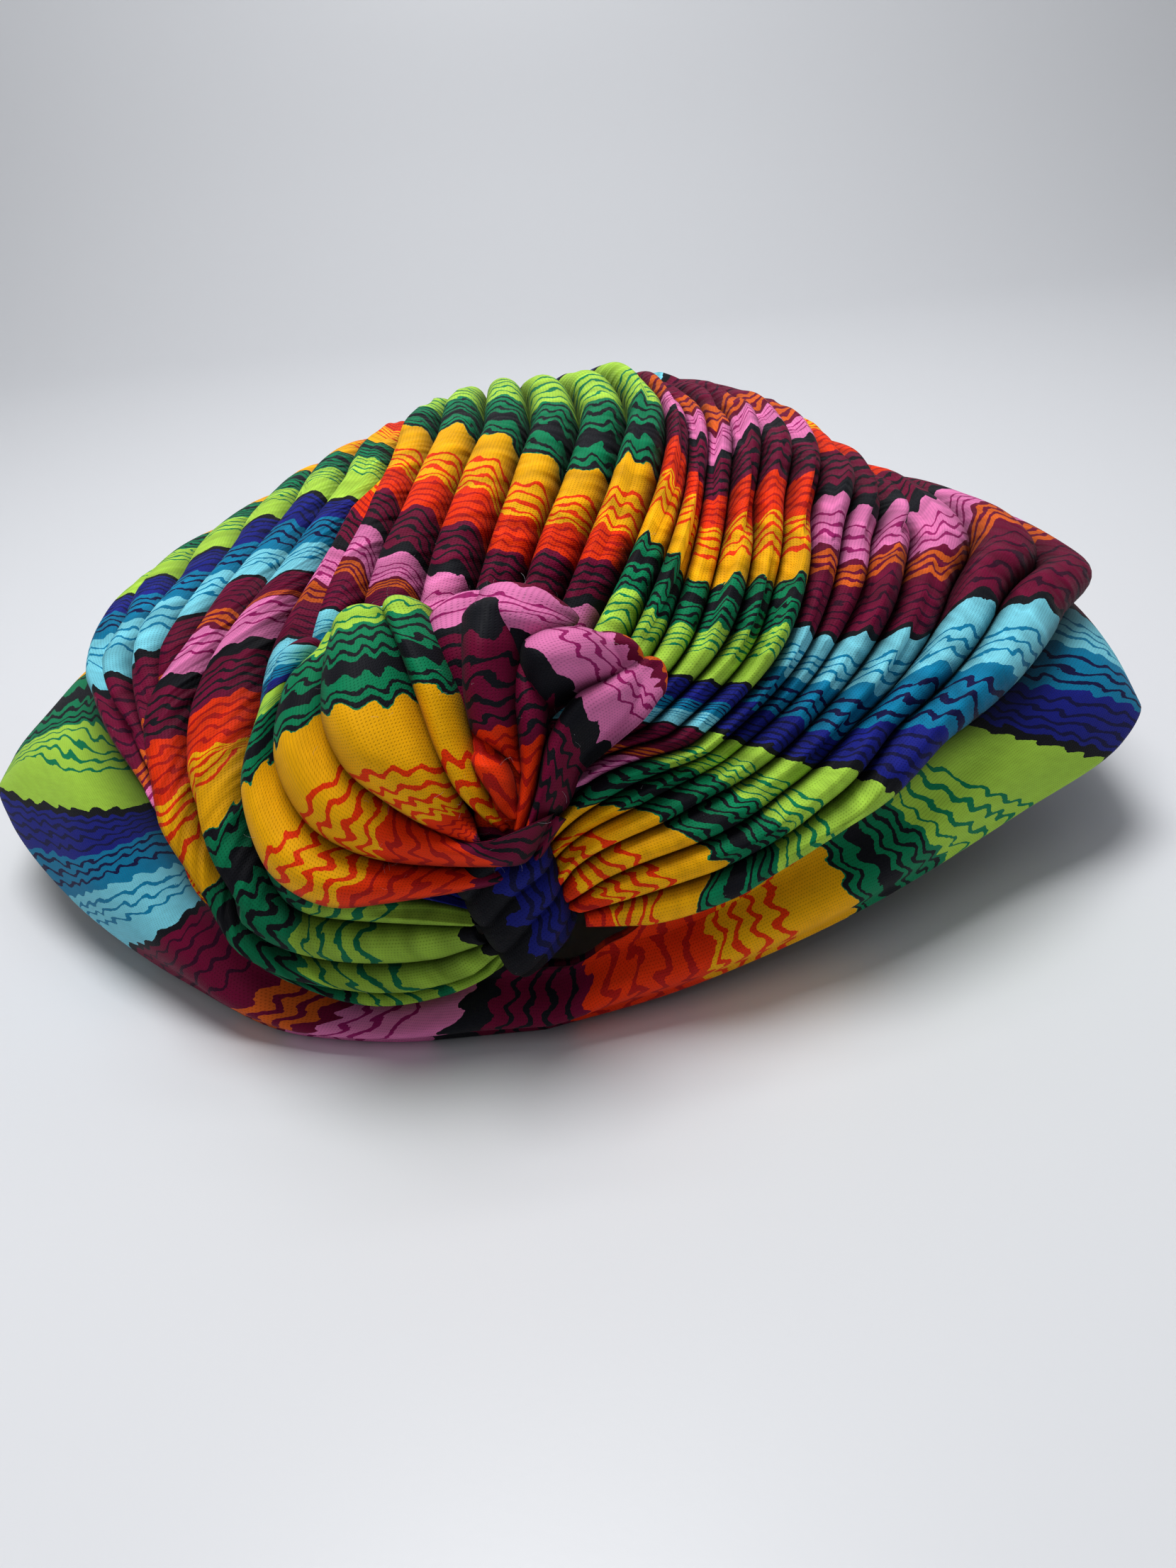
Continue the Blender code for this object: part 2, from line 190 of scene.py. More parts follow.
def stripedJersey():
    material = newMaterial("striped jersey")
    tree = material.node_tree
    cloth = addNode(tree, "ShaderNodeUVMap", uv_map="cloth").outputs["UV"]
    parts = addNode(tree, "ShaderNodeSeparateXYZ", {0: cloth})
    along, across = (times(tree, part, 1000) for part in parts.outputs[:2])
    flat = addNode(tree, "ShaderNodeCombineXYZ", {0: along, 1: across}).outputs[0]

    def noise(scale, detail, stretch=(1, 1, 1), vector=flat):    # about -0.5 to 0.5
        stretched = addNode(tree, "ShaderNodeMapping", {"Vector": vector, "Scale": stretch}).outputs[0]
        found = addNode(tree, "ShaderNodeTexNoise", {"Vector": stretched, "Scale": scale, "Detail": detail})
        return maths(tree, "SUBTRACT", found.outputs[0], 0.5)

    # each line zigzags, with its own drift, height and small broken steps
    drift = times(tree, noise(0.05, 1, (1.6, 1, 1)), stripes["drift"])
    phase = plus(tree, maths(tree, "DIVIDE", across, stripes["waveLength"]), drift)
    swing = maths(tree, "SINE", times(tree, phase, 2 * math.pi))
    height = maths(tree, "MULTIPLY_ADD", noise(0.11, 1, (2, 1, 1)), stripes["unevenHeight"], 1)
    wave = times(tree, times(tree, swing, height), stripes["waveHeight"] / 2)
    wander = times(tree, noise(0.16, 2, (0.8, 1, 1)), stripes["wander"])
    steps = times(tree, noise(1.1, 1), stripes["steps"])
    place = plus(tree, plus(tree, along, wave), plus(tree, wander, steps))
    place = maths(tree, "WRAP", place, stripes["repeat"], 0)
    edges = stripes["rampEdges"]
    colour = stripeRamp(tree, place, edges[0], edges[1])
    for start, end in zip(edges[1:], edges[2:]):
        further = maths(tree, "GREATER_THAN", place, start)
        values = {0: further, 6: colour, 7: stripeRamp(tree, place, start, end)}
        colour = addNode(tree, "ShaderNodeMix", values, data_type="RGBA").outputs[2]

    # knit: rows of small loops, every other row shifted by half a loop
    weave = addNode(tree, "ShaderNodeUVMap", uv_map="knit").outputs["UV"]
    weaveAlong, weaveAcross = addNode(tree, "ShaderNodeSeparateXYZ", {0: weave}).outputs[:2]
    row = times(tree, weaveAcross, 1000 / knit["wale"])
    shift = times(tree, maths(tree, "PINGPONG", maths(tree, "FLOOR", row), 1), 0.5)
    column = plus(tree, times(tree, weaveAlong, 1000 / knit["course"]), shift)
    rowPart, columnPart = (maths(tree, "SUBTRACT", maths(tree, "FRACT", part), 0.5) for part in (row, column))
    reach = plus(tree, times(tree, rowPart, rowPart), times(tree, columnPart, columnPart))
    loop = addNode(
        tree, "ShaderNodeMapRange", {"Value": reach, "From Min": 0.0, "From Max": knit["loop"]},
        interpolation_type="SMOOTHSTEP",
    ).outputs[0]
    dark, light = knit["loopShade"]
    shade = addNode(tree, "ShaderNodeMapRange", {"Value": loop, "To Min": dark, "To Max": light}).outputs[0]
    shade = times(tree, shade, maths(tree, "MULTIPLY_ADD", noise(0.35, 3), knit["mottle"], 1))
    # painted shade: the colour is darkened by the attribute that holds the painted shade, in creases, under the knot
    # and over the waist
    shade = times(tree, shade, attribute(tree, "paintedShade"))

    # small gathers across the pleats: a bump, and painted shade between them in the colour
    gathers = times(tree, noise(1, 1, knit["gatherScale"], weave), attribute(tree, "gathered"))
    shade = times(tree, shade, maths(tree, "MULTIPLY_ADD", gathers, knit["gatherShade"], 1))
    grey = addNode(tree, "ShaderNodeCombineColor", {0: shade, 1: shade, 2: shade}).outputs[0]
    tinted = addNode(
        tree, "ShaderNodeMix", {0: 1.0, 6: colour, 7: grey}, data_type="RGBA", blend_type="MULTIPLY",
    ).outputs[2]
    fuzz = noise(2.4, 2)
    relief = plus(tree, loop, times(tree, fuzz, knit["fuzz"]))
    relief = maths(tree, "MULTIPLY_ADD", gathers, knit["gatherDepth"], relief)
    bump = addNode(
        tree, "ShaderNodeBump", {"Height": relief, "Strength": knit["strength"], "Distance": knit["depth"]},
    ).outputs[0]
    rough = maths(tree, "MULTIPLY_ADD", fuzz, knit["unevenRoughness"], knit["roughness"])
    return shadeWith(material, {
        "Base Color": tinted, "Roughness": rough, "Normal": bump, "Sheen Weight": knit["sheen"],
        "Sheen Roughness": knit["sheenRoughness"], "Sheen Tint": (1, 1, 1, 1), "Specular IOR Level": knit["specular"],
    })


jersey = stripedJersey()
print("striped jersey made")


# curves through rows of numbers
def smoothCurve(rows, at):    # every column after the first, on a curve that never overshoots
    rows = np.asarray(rows, float)
    at = np.asarray(at, float)
    keys, values = rows[:, 0], rows[:, 1:]
    wanted = np.clip(at.ravel(), keys[0], keys[-1])
    slopes = np.diff(values, axis=0) / np.diff(keys)[:, None]
    tangents = np.zeros_like(values)
    product, total = slopes[:-1] * slopes[1:], slopes[:-1] + slopes[1:]
    tangents[1:-1] = np.where(product > 0, 2 * product / np.where(total == 0, 1, total), 0)
    tangents[0], tangents[-1] = slopes[0], slopes[-1]
    low = np.clip(np.searchsorted(keys, wanted, side="right") - 1, 0, len(keys) - 2)
    span = (keys[low + 1] - keys[low])[:, None]
    t = (wanted - keys[low])[:, None] / span
    found = (
        (2 * t**3 - 3 * t**2 + 1) * values[low] + (t**3 - 2 * t**2 + t) * span * tangents[low]
        + (3 * t**2 - 2 * t**3) * values[low + 1] + (t**3 - t**2) * span * tangents[low + 1]
    )
    return found.reshape(at.shape + (values.shape[1],))


def straightCurve(keys, values, at):    # runs straight on past its ends
    keys, values, at = (np.asarray(part, float) for part in (keys, values, at))
    found = np.interp(at, keys, values)
    before = values[0] + (at - keys[0]) * (values[1] - values[0]) / (keys[1] - keys[0])
    after = values[-1] + (at - keys[-1]) * (values[-1] - values[-2]) / (keys[-1] - keys[-2])
    return np.where(at < keys[0], before, np.where(at > keys[-1], after, found))


def smoothStep(start, end, at):
    t = np.clip((np.asarray(at, float) - start) / (end - start), 0, 1)
    return t * t * (3 - 2 * t)


def ripple(seed, *places, waves=5, slow=0.6, fast=2.2):    # gentle seeded unevenness, about -1 to 1
    dice = np.random.default_rng(seed)
    total = 0.0
    for _ in range(waves):
        inside = dice.uniform(0, 2 * math.pi)
        for place in places:
            inside = inside + place * dice.uniform(slow, fast) * dice.choice((-1, 1))
        total = total + np.sin(inside)
    return total / waves**0.5 / 1.2


# the rounded form under the folds, the same as the solids': lean in degrees round the line from waist to back
form = {
    "halfDepth": 104 * mm, "poleRight": -3.5 * mm, "poleBack": 5 * mm, "poleHeight": 28 * mm,
    "crownSag": 8 * mm, "crownShift": 4 * mm, "fullness": 0.8,
    "cornerRise": 6.5 * mm, "cornerLean": (16, 7), "cornerShare": (0.42, 0.15),
    "crown": [
        (0, 134), (8, 134), (20, 119), (32, 100.5), (47, 94.5), (64, 88.5), (84, 79), (104, 78.5), (125, 82),
        (143, 91.5), (155, 105), (166, 119), (175, 132), (180, 134),
    ],
}


def reachAt(lean):
    return smoothCurve(form["crown"], np.abs((np.asarray(lean, float) + 180) % 360 - 180))[..., 0] * mm


def centreLine(share):
    middle, end = np.sin(np.pi * share), np.cos(np.pi * share)
    right = form["poleRight"] + form["crownShift"] * middle
    height = form["poleHeight"] - form["crownSag"] * middle
    return np.stack([right, form["poleBack"] - form["halfDepth"] * end, height], -1)


def radiusAt(lean, share):
    offLean = (lean - form["cornerLean"][0]) / form["cornerLean"][1]
    offShare = (share - form["cornerShare"][0]) / form["cornerShare"][1]
    corner = form["cornerRise"] * np.exp(-(offLean**2) - offShare**2)
    return reachAt(lean) * np.abs(np.sin(np.pi * share)) ** form["fullness"] + corner


def formAt(lean, share):
    lean, share = np.broadcast_arrays(np.asarray(lean, float), np.asarray(share, float))
    angle = np.radians(lean)
    direction = np.stack([np.cos(angle), 0 * angle, np.sin(angle)], -1)
    return centreLine(share) + radiusAt(lean, share)[..., None] * direction


def unit(vectors):
    return vectors / np.maximum(np.linalg.norm(vectors, axis=-1, keepdims=True), 1e-12)


def outwardAt(lean, share):
    along = formAt(lean, share + 0.002) - formAt(lean, share - 0.002)
    across = formAt(lean + 3, share) - formAt(lean - 3, share)
    return unit(np.cross(along, across))


# where each fold's ridge, and the band's edge, leans at these shares of the way to the back
foldShares = (0.03, 0.08, 0.13, 0.21, 0.28, 0.35, 0.45, 0.90)
leanTable = [
    ("hem_band", [(-8, 5, 10.8, 16.5, 16.5, 16.5, 13, 14)]),
    ("lower_right_pleats", [
        (2, 9, 13.5, 20, 20, 20, 16, 18),
        (20, 17, 21.5, 25, 24.9, 24.5, 21.5, 25),
        (41, 29, 27, 28.5, 28.5, 28.5, 27.5, 31),
        (62, 40, 34, 33, 33.2, 33.5, 31.5, 37),
        (74, 49, 37.5, 36.3, 37.1, 38, 36, 43),
        (88, 61, 41.5, 39.5, 41.2, 43, 41.5, 49),
    ]),
    ("upper_right_pleats", [
        (102, 76, 47.5, 44.5, 46, 47.5, 46, 56),
        (110, 86, 54, 48.5, 50.1, 51.8, 51, 62),
        (117, 94, 60, 54.5, 55.2, 56, 55.5, 67),
        (123, 101, 66, 59.5, 59.8, 60, 59.5, 72),
        (128, 107, 73, 65, 63.7, 63, 62.5, 76),
        (132, 114, 82, 72, 68.5, 66.5, 65.5, 79),
    ]),
    ("crown_pleats", [
        (136, 121, 93, 80.5, 75.1, 71.8, 70, 84),
        (140, 127, 102, 89, 82.9, 79, 76.5, 89),
        (144, 132, 110, 97, 90.7, 86.5, 83.5, 93),
        (148, 138, 118, 107, 100, 95, 91.5, 97),
        (152, 143, 127, 119, 110.9, 104, 99, 101),
        (156, 151, 139, 132, 121.7, 112.5, 107, 105),
    ]),
    ("left_pleats", [
        (164, 167, 155, 137, 127, 117, 110, 109),
        (184, 177, 165.5, 151.5, 143, 125, 115, 116),
        (216, 193, 171.5, 158.5, 151.5, 139.5, 125, 122),
        (230, 205, 174, 159.8, 153.2, 146, 134, 130),
        (233, 208, 175, 160.6, 154.8, 151.5, 144, 146),
        (234, 209, 176, 161.5, 157.4, 156, 152, 152),
        (235, 210, 176.6, 162.3, 158.6, 157.6, 157, 157),
    ]),
    ("hem_band", [(238, 212, 177.4, 163.2, 160, 159.5, 161, 162)]),
]
foldLeans = [(group, *leans) for group, rows in leanTable for leans in rows]

# the print on each fold: the stripe place in mm, and where each of the group's folds has it, in thousandths
# of the way to the back; the left group's first fold has its own list below
foldPrint = {
    "lower_right_pleats": [
        (92, 20, 22, 24, 24, 24, 22),
        (75, 34, 48, 54, 55, 52, 50),
        (63, 48, 67, 74, 76, 72, 70),
        (41, 82, 100, 112, 116, 112, 108),
        (23, 108, 122, 130, 133, 128, 125),
        (0, 149, 150, 148, 146, 142, 140),
        (-24, 200, 194, 176, 178, 172, 170),
        (-42, 266, 258, 226, 214, 208, 204),
        (-70, 344, 338, 286, 266, 250, 242),
        (-102, 470, 450, 344, 328, 292, 288),
        (-117, 520, 500, 388, 364, 318, 316),
        (-143, 580, 560, 490, 456, 398, 388),
        (-165, 630, 610, 560, 530, 500, 460),
        (-190, 680, 660, 620, 590, 560, 530),
    ],
    "upper_right_pleats": [
        (141, 85, 83, 80, 78, 78, 85),
        (163, 105, 103, 100, 98, 98, 105),
        (183, 118, 116, 113, 112, 112, 120),
        (210, 136, 134, 130, 130, 130, 138),
        (238, 150, 146, 142, 142, 142, 150),
        (256, 160, 154, 152, 152, 152, 160),
        (280, 180, 172, 170, 170, 170, 178),
        (321, 226, 212, 206, 204, 208, 228),
        (343, 272, 262, 248, 244, 258, 276),
        (355, 296, 284, 270, 264, 284, 302),
        (372, 332, 324, 308, 294, 316, 340),
        (395, 388, 378, 358, 330, 356, 392),
        (417, 460, 464, 424, 374, 410, 450),
        (443, 500, 500, 470, 420, 460, 490),
        (490, 680, 680, 660, 620, 650, 680),
    ],
    "crown_pleats": [
        (268, 12, 12, 12, 12, 12, 12),
        (256, 130, 134, 140, 160, 236, 240),
        (238, 142, 146, 152, 172, 244, 254),
        (210, 158, 162, 170, 190, 254, 270),
        (183, 172, 178, 186, 206, 264, 290),
        (163, 190, 196, 204, 228, 274, 308),
        (137, 226, 234, 242, 266, 294, 336),
        (115, 254, 266, 270, 298, 330, 366),
        (92, 282, 290, 302, 334, 362, 396),
        (75, 318, 316, 334, 370, 394, 426),
        (63, 346, 342, 366, 402, 434, 466),
        (41, 442, 442, 456, 484, 508, 530),
        (0, 610, 615, 630, 650, 670, 690),
    ],
    "left_pleats": [
        (-3.4, 4, 4, 4, 4, 4, 4),
        (-1, 14, 14, 14, 14, 14, 14),
        (20, 44, 46, 46, 46, 46, 46),
        (23, 52, 56, 58, 58, 58, 58),
        (41, 78, 82, 82, 80, 80, 80),
        (63, 160, 134, 124, 118, 110, 106),
        (75, 190, 158, 148, 142, 134, 124),
        (92, 216, 202, 186, 172, 158, 142),
        (115, 258, 252, 230, 208, 184, 160),
        (137, 290, 294, 268, 238, 208, 180),
        (163, 318, 328, 300, 270, 250, 238),
        (180, 321, 344, 320, 298, 282, 272),
        (210, 332, 364, 356, 346, 350, 354),
        (238, 354, 384, 392, 396, 408, 426),
        (256, 380, 408, 418, 424, 440, 462),
        (280, 402, 440, 452, 462, 476, 500),
        (321, 470, 490, 510, 530, 540, 570),
        (343, 520, 540, 560, 580, 590, 620),
    ],
}
# it has its print the other way round: share, stripe place in mm
firstFoldPrint = {
    "left_pleats": [
        (0.004, -3.4), (0.014, -1), (0.044, 20), (0.080, 41), (0.120, 52), (0.170, 52), (0.205, 41), (0.222, 4),
        (0.234, -24), (0.248, -42), (0.272, -70), (0.292, -97), (0.312, -117), (0.340, -143), (0.370, -165),
        (0.400, -188), (0.460, -205), (0.530, -217), (0.620, -239), (0.900, -300),
    ],
}
pleats = {
    "stations": 160, "crowding": 1.3, "columns": 8, "waistShare": 0.03, "pinchShare": 0.012, "backShare": 0.90,
    "depth": 9.6 * mm, "roundness": 2.1, "fullness": 0.62, "pinchEnd": 0.12, "flatBack": 0.82, "flatFrom": 0.50,
    "wall": 1.3 * mm, "insideFollows": 0.7, "crownLap": 2.0 * mm, "wobble": 0.5, "swell": 0.35 * mm,
    # the crease and knot values here are painted shade: the colour darker towards each crease, and darker on the left
    # folds near the waist, under the knot
    "paintedCreaseShade": 0.30, "knotShade": 0.35, "printBlend": 0.5, "blendLimit": 60,
}


def printAlong(rows, at):    # the stripe place, from rows of a share or stage and a place
    table = np.array(rows, float)
    return straightCurve(table[:, 0], table[:, 1], at)


def leansAt(share):
    return [smoothCurve(list(zip(foldShares, row[1:])), share)[..., 0] for row in foldLeans]


def foldDepth(share):
    pinch = np.minimum(1, share / pleats["pinchEnd"]) ** 0.5
    flat = pleats["flatBack"] * smoothStep(pleats["flatFrom"], pleats["backShare"], share)
    return pleats["depth"] * pinch * (1 - flat)


def creaseLean(leans, fold, beside):
    return leans[beside] if foldLeans[beside][0] == "hem_band" else (leans[fold] + leans[beside]) / 2


def creased(paintedShade, start, end, at):    # painted shade in the cloth's colour, darker towards a crease
    return paintedShade + (1 - paintedShade) * smoothStep(start, end, at)


# short loose fibres that stand up from the cloth
fibres = {"density": 15000.0, "length": 0.0022, "radius": 0.000014, "seed": 11}
fibreGround = {"points": [], "faces": []}    # every cloth wall's outer skin is added here


# a mesh of cloth, with its print and its knit in two UV maps and its painted shade as an attribute
def wovenPiece(name, points, faces, marks, cloth, weave, paintedShade):
    mesh = bpy.data.meshes.new(name)
    mesh.from_pydata(points.tolist(), [], faces)
    for mapName, values in (("cloth", cloth), ("knit", weave)):
        layer = mesh.uv_layers.new(name=mapName)
        layer.data.foreach_set("uv", values[marks[:, 0], marks[:, 1]].astype(np.float32).ravel())
    shades = mesh.attributes.new(name="paintedShade", type="FLOAT", domain="CORNER")
    shades.data.foreach_set("value", paintedShade[marks[:, 0], marks[:, 1]].astype(np.float32))
    built = bmesh.new()
    built.from_mesh(mesh)
    bmesh.ops.recalc_face_normals(built, faces=built.faces)
    built.to_mesh(mesh)
    built.free()
    mesh.shade_smooth()
    mesh.materials.append(jersey)
    piece = addObject(name, mesh)
    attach(piece, "root")
    return piece


def lengthsAlong(points):    # how far each point is from the first, along the first axis
    steps = np.linalg.norm(np.diff(points, axis=0), axis=-1)
    return np.concatenate([np.zeros_like(steps[:1]), np.cumsum(steps, axis=0)])


# a closed cloth wall between two grids of points, with the stripe place and the distance across at each
def clothShell(name, outer, inner, place, across, paintedShade):
    rows, columns = outer.shape[:2]
    points = np.concatenate([outer.reshape(-1, 3), inner.reshape(-1, 3)])

    def corner(skin, i, j):
        return (skin * rows + i) * columns + j

    faces, marks = [], []
    for skin in (0, 1):
        for i in range(rows - 1):
            for j in range(columns - 1):
                spots = [(i, j), (i, j + 1), (i + 1, j + 1), (i + 1, j)]
                if skin:
                    spots.reverse()
                faces.append([corner(skin, *spot) for spot in spots])
                marks.append(spots)
    rims = [([(i, j), (i + 1, j)], step) for j, step in ((0, -1), (columns - 1, 1)) for i in range(rows - 1)]
    rims += [([(i, j), (i, j + 1)], step) for i, step in ((0, 1), (rows - 1, -1)) for j in range(columns - 1)]
    for spots, step in rims:
        a, b = spots[::-step]
        faces.append([corner(0, *a), corner(0, *b), corner(1, *b), corner(1, *a)])
        marks.append([a, b, b, a])
    first = len(fibreGround["points"])
    skinFaces = faces[:(rows - 1) * (columns - 1)]
    fibreGround["points"] += points[:rows * columns].tolist()
    fibreGround["faces"] += [[first + spot for spot in face] for face in skinFaces]
    cloth = np.stack([place / 1000, across], -1)
    weave = np.stack([lengthsAlong(outer), across], -1)
    return wovenPiece(name, points, faces, np.array(marks).reshape(-1, 2), cloth, weave, paintedShade)


def makePleats(group, seed):
    near, far = pleats["pinchShare"], pleats["backShare"]
    shares = near + (far - near) * np.linspace(0, 1, pleats["stations"]) ** pleats["crowding"]
    leans = leansAt(shares)
    depth = foldDepth(shares)
    members = [i for i, row in enumerate(foldLeans) if row[0] == group]
    table = np.array(foldPrint[group], float)
    places = [straightCurve(column / 1000, table[:, 0], shares) for column in table[:, 1:].T]
    if group in firstFoldPrint:
        places.insert(0, printAlong(firstFoldPrint[group], shares))
    turns = np.linspace(0, math.pi / 2, pleats["columns"])
    away = smoothStep(0.05, 0.2, shares)    # from the waist
    leanColumns, riseColumns, placeColumns, paintedShadeColumns, owner = [], [], [], [], []
    for k, i in enumerate(members):
        ridge = leans[i] + pleats["wobble"] * ripple(seed + i, shares * 16) * away
        for beside, direction in ((i - 1, 1), (i + 1, -1)):
            crease = creaseLean(leans, i, beside)
            halfWidth = np.radians(np.abs(ridge - crease)) * radiusAt(leans[i], shares)
            rise = np.minimum(depth, pleats["roundness"] * halfWidth)
            rise = rise + pleats["swell"] * ripple(seed + 40 + i, shares * 30) * away
            other = k - direction
            apart = (places[other] if 0 <= other < len(members) else places[k]) - places[k]
            apart = np.where(np.abs(apart) < pleats["blendLimit"], apart, 0)
            # up from the crease to the ridge, and then down to the next crease
            chosen = turns[-2::-1] if direction < 0 else turns[1:] if leanColumns else turns
            for turn in chosen:
                part = 1 - math.cos(turn)
                leanColumns.append(crease + (ridge - crease) * part)
                riseColumns.append(rise * math.sin(turn) ** pleats["fullness"] - depth)
                placeColumns.append(places[k] + apart * pleats["printBlend"] * (1 - part) ** 3)
                # painted shade, darker towards the crease
                paintedShadeColumns.append(creased(pleats["paintedCreaseShade"], -0.05, 0.55, part))
                owner.append(k)
    lean, rise, place = (np.stack(columns, 1) for columns in (leanColumns, riseColumns, placeColumns))
    share = np.broadcast_to(shares[:, None], lean.shape)
    lap = pleats["crownLap"] * smoothStep(0.23, 0.32, share) if group == "crown_pleats" else 0
    base, normal = formAt(lean, share), outwardAt(lean, share)
    outer = base + normal * (rise + lap)[..., None]
    low = -depth[:, None]
    inner = base + normal * (low + pleats["insideFollows"] * (rise - low) + lap - pleats["wall"])[..., None]
    # the print's waves keep their size: each fold measures its width from its own ridge
    middle = np.argmin(np.abs(shares - 0.35))
    sideways = lengthsAlong(outer.transpose(1, 0, 2)).T
    owner = np.array(owner)
    offsets = [pleats["columns"] - (1 if k == 0 else 2) for k in range(len(members))]
    ridges = np.array([np.nonzero(owner == k)[0][offset] for k, offset in enumerate(offsets)])[owner]
    across = sideways - sideways[:, ridges] + sideways[middle, ridges][None, :]
    # painted shadow of the knot on the left folds, fading out away from the waist
    paintedKnotShadow = 1 - pleats["knotShade"] * (1 - smoothStep(0.06, 0.30, share)) if group == "left_pleats" else 1
    paintedShade = np.array(paintedShadeColumns)[None, :] * paintedKnotShadow * np.ones(lean.shape)
    piece = clothShell(group.replace("_p", "P").replace("_r", "R"), outer, inner, place, across, paintedShade)
    gathered = piece.data.attributes.new(name="gathered", type="FLOAT", domain="POINT")
    gathered.data.foreach_set("value", np.ones(len(piece.data.vertices), np.float32))
    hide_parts(group)
    print(group, "made")


for number, group in enumerate(("lower_right_pleats", "upper_right_pleats", "crown_pleats", "left_pleats")):
    makePleats(group, 100 + number * 10)


# the hem band: from its top edge under the folds down to the rolled hem, and back up inside
band = {
    "hem": [    # share, right x, y and z, left x, y and z in mm
        (0.00, -3.5, -94.5, 0, -3.5, -94.5, 0), (0.04, 18.5, -92, 3, -25.5, -94.5, 0),
        (0.08, 36.5, -88, 6, -49.5, -90, 0), (0.14, 60.5, -81, 11, -75.5, -75.5, 4),
        (0.21, 94.5, -66, 19, -103.5, -54, 12), (0.30, 122.5, -51, 25, -124.5, -29.5, 20),
        (0.36, 131, -40, 28, -131.5, -16, 23), (0.50, 135, -3, 25, -134.5, 13, 22),
        (0.70, 120.5, 55, 14, -122.5, 57, 14), (0.85, 88.5, 90, 4, -93.5, 89, 5),
        (0.93, 48.5, 107, 0, -55.5, 106, 0), (1.00, -3.5, 111, 0, -3.5, 111, 0),
    ],
    "topPrint": {    # share, stripe place in mm
        "right": [
            (0.03, 104), (0.06, 90), (0.08, 75), (0.108, 63), (0.154, 41), (0.228, 0), (0.280, -24), (0.340, -42),
            (0.420, -70), (0.90, -245),
        ],
        "left": [
            (0.03, 136), (0.07, 156), (0.11, 183), (0.140, 210), (0.172, 238), (0.208, 256), (0.232, 280),
            (0.314, 321), (0.480, 343), (0.90, 540),
        ],
    },
    "hemPrint": {
        "right": [
            (0.00, 121), (0.010, 113), (0.060, 92), (0.105, 75), (0.135, 63), (0.177, 41),
            (0.218, 23), (0.275, 0), (0.360, -30), (1.00, -273),
        ],
        "left": [
            (0.00, 121), (0.023, 133.5), (0.041, 140), (0.088, 163), (0.128, 183), (0.170, 210), (0.212, 238),
            (0.27, 256), (0.352, 280), (0.400, 321), (0.560, 343), (1.00, 567),
        ],
    },
    "wall": 2.0 * mm, "belly": 2.6 * mm, "frontRoll": 4.0 * mm, "frontHollow": 3.0 * mm, "lift": 0.6 * mm,
    "halfWidth": 135 * mm, "halfDepth": 100 * mm, "roll": 2.2 * mm, "unevenness": 0.5 * mm, "paintedCreaseShade": 0.2,
    "outRows": 22, "rollRows": 9, "inRows": 12, "sideStations": 130, "frontStations": 24, "backStations": 40,
}


# round the band from the middle of its back: lean, share of the top edge, side, share of the hem, and the
# print at the top and at the hem
def bandRows():
    near, far = pleats["waistShare"], pleats["backShare"]
    sideShares = near + (far - near) * np.linspace(0, 1, band["sideStations"]) ** 1.1
    leans = leansAt(sideShares)
    edges = {"right": leans[0], "left": leans[-1]}
    middle = (edges["right"][-1] + edges["left"][-1]) / 2

    def printAt(place, side, share):
        return float(printAlong(band[place][side], share))

    def backRow(side, q):
        hemShare = far + (1 - far) * q
        top, low = printAt("topPrint", side, far), printAt("hemPrint", side, hemShare)
        lean = edges[side][-1] + (middle - edges[side][-1]) * q
        return lean, far, side, hemShare, top + (low - top) * q, low

    def sideRow(side, k):
        share = sideShares[k]
        return edges[side][k], share, side, share, printAt("topPrint", side, share), printAt("hemPrint", side, share)

    rows = [backRow("right", q) for q in np.linspace(1, 0, band["backStations"], endpoint=False)]
    rows += [sideRow("right", k) for k in range(len(sideShares))][::-1]
    start, end = rows[-1][0], edges["left"][0] - 360
    topStart, topEnd = rows[-1][4], printAt("topPrint", "left", near)
    for k in range(1, band["frontStations"]):
        q = k / band["frontStations"]
        side = "right" if q < 0.5 else "left"
        hemShare = near * abs(1 - 2 * q)
        top = topStart + (topEnd - topStart) * q
        rows.append((start + (end - start) * q, near, side, hemShare, top, printAt("hemPrint", side, hemShare)))
    rows += [sideRow("left", k) for k in range(len(sideShares))]
    rows += [backRow("left", q) for q in np.linspace(0, 1, band["backStations"] + 1)[1:]]
    return rows


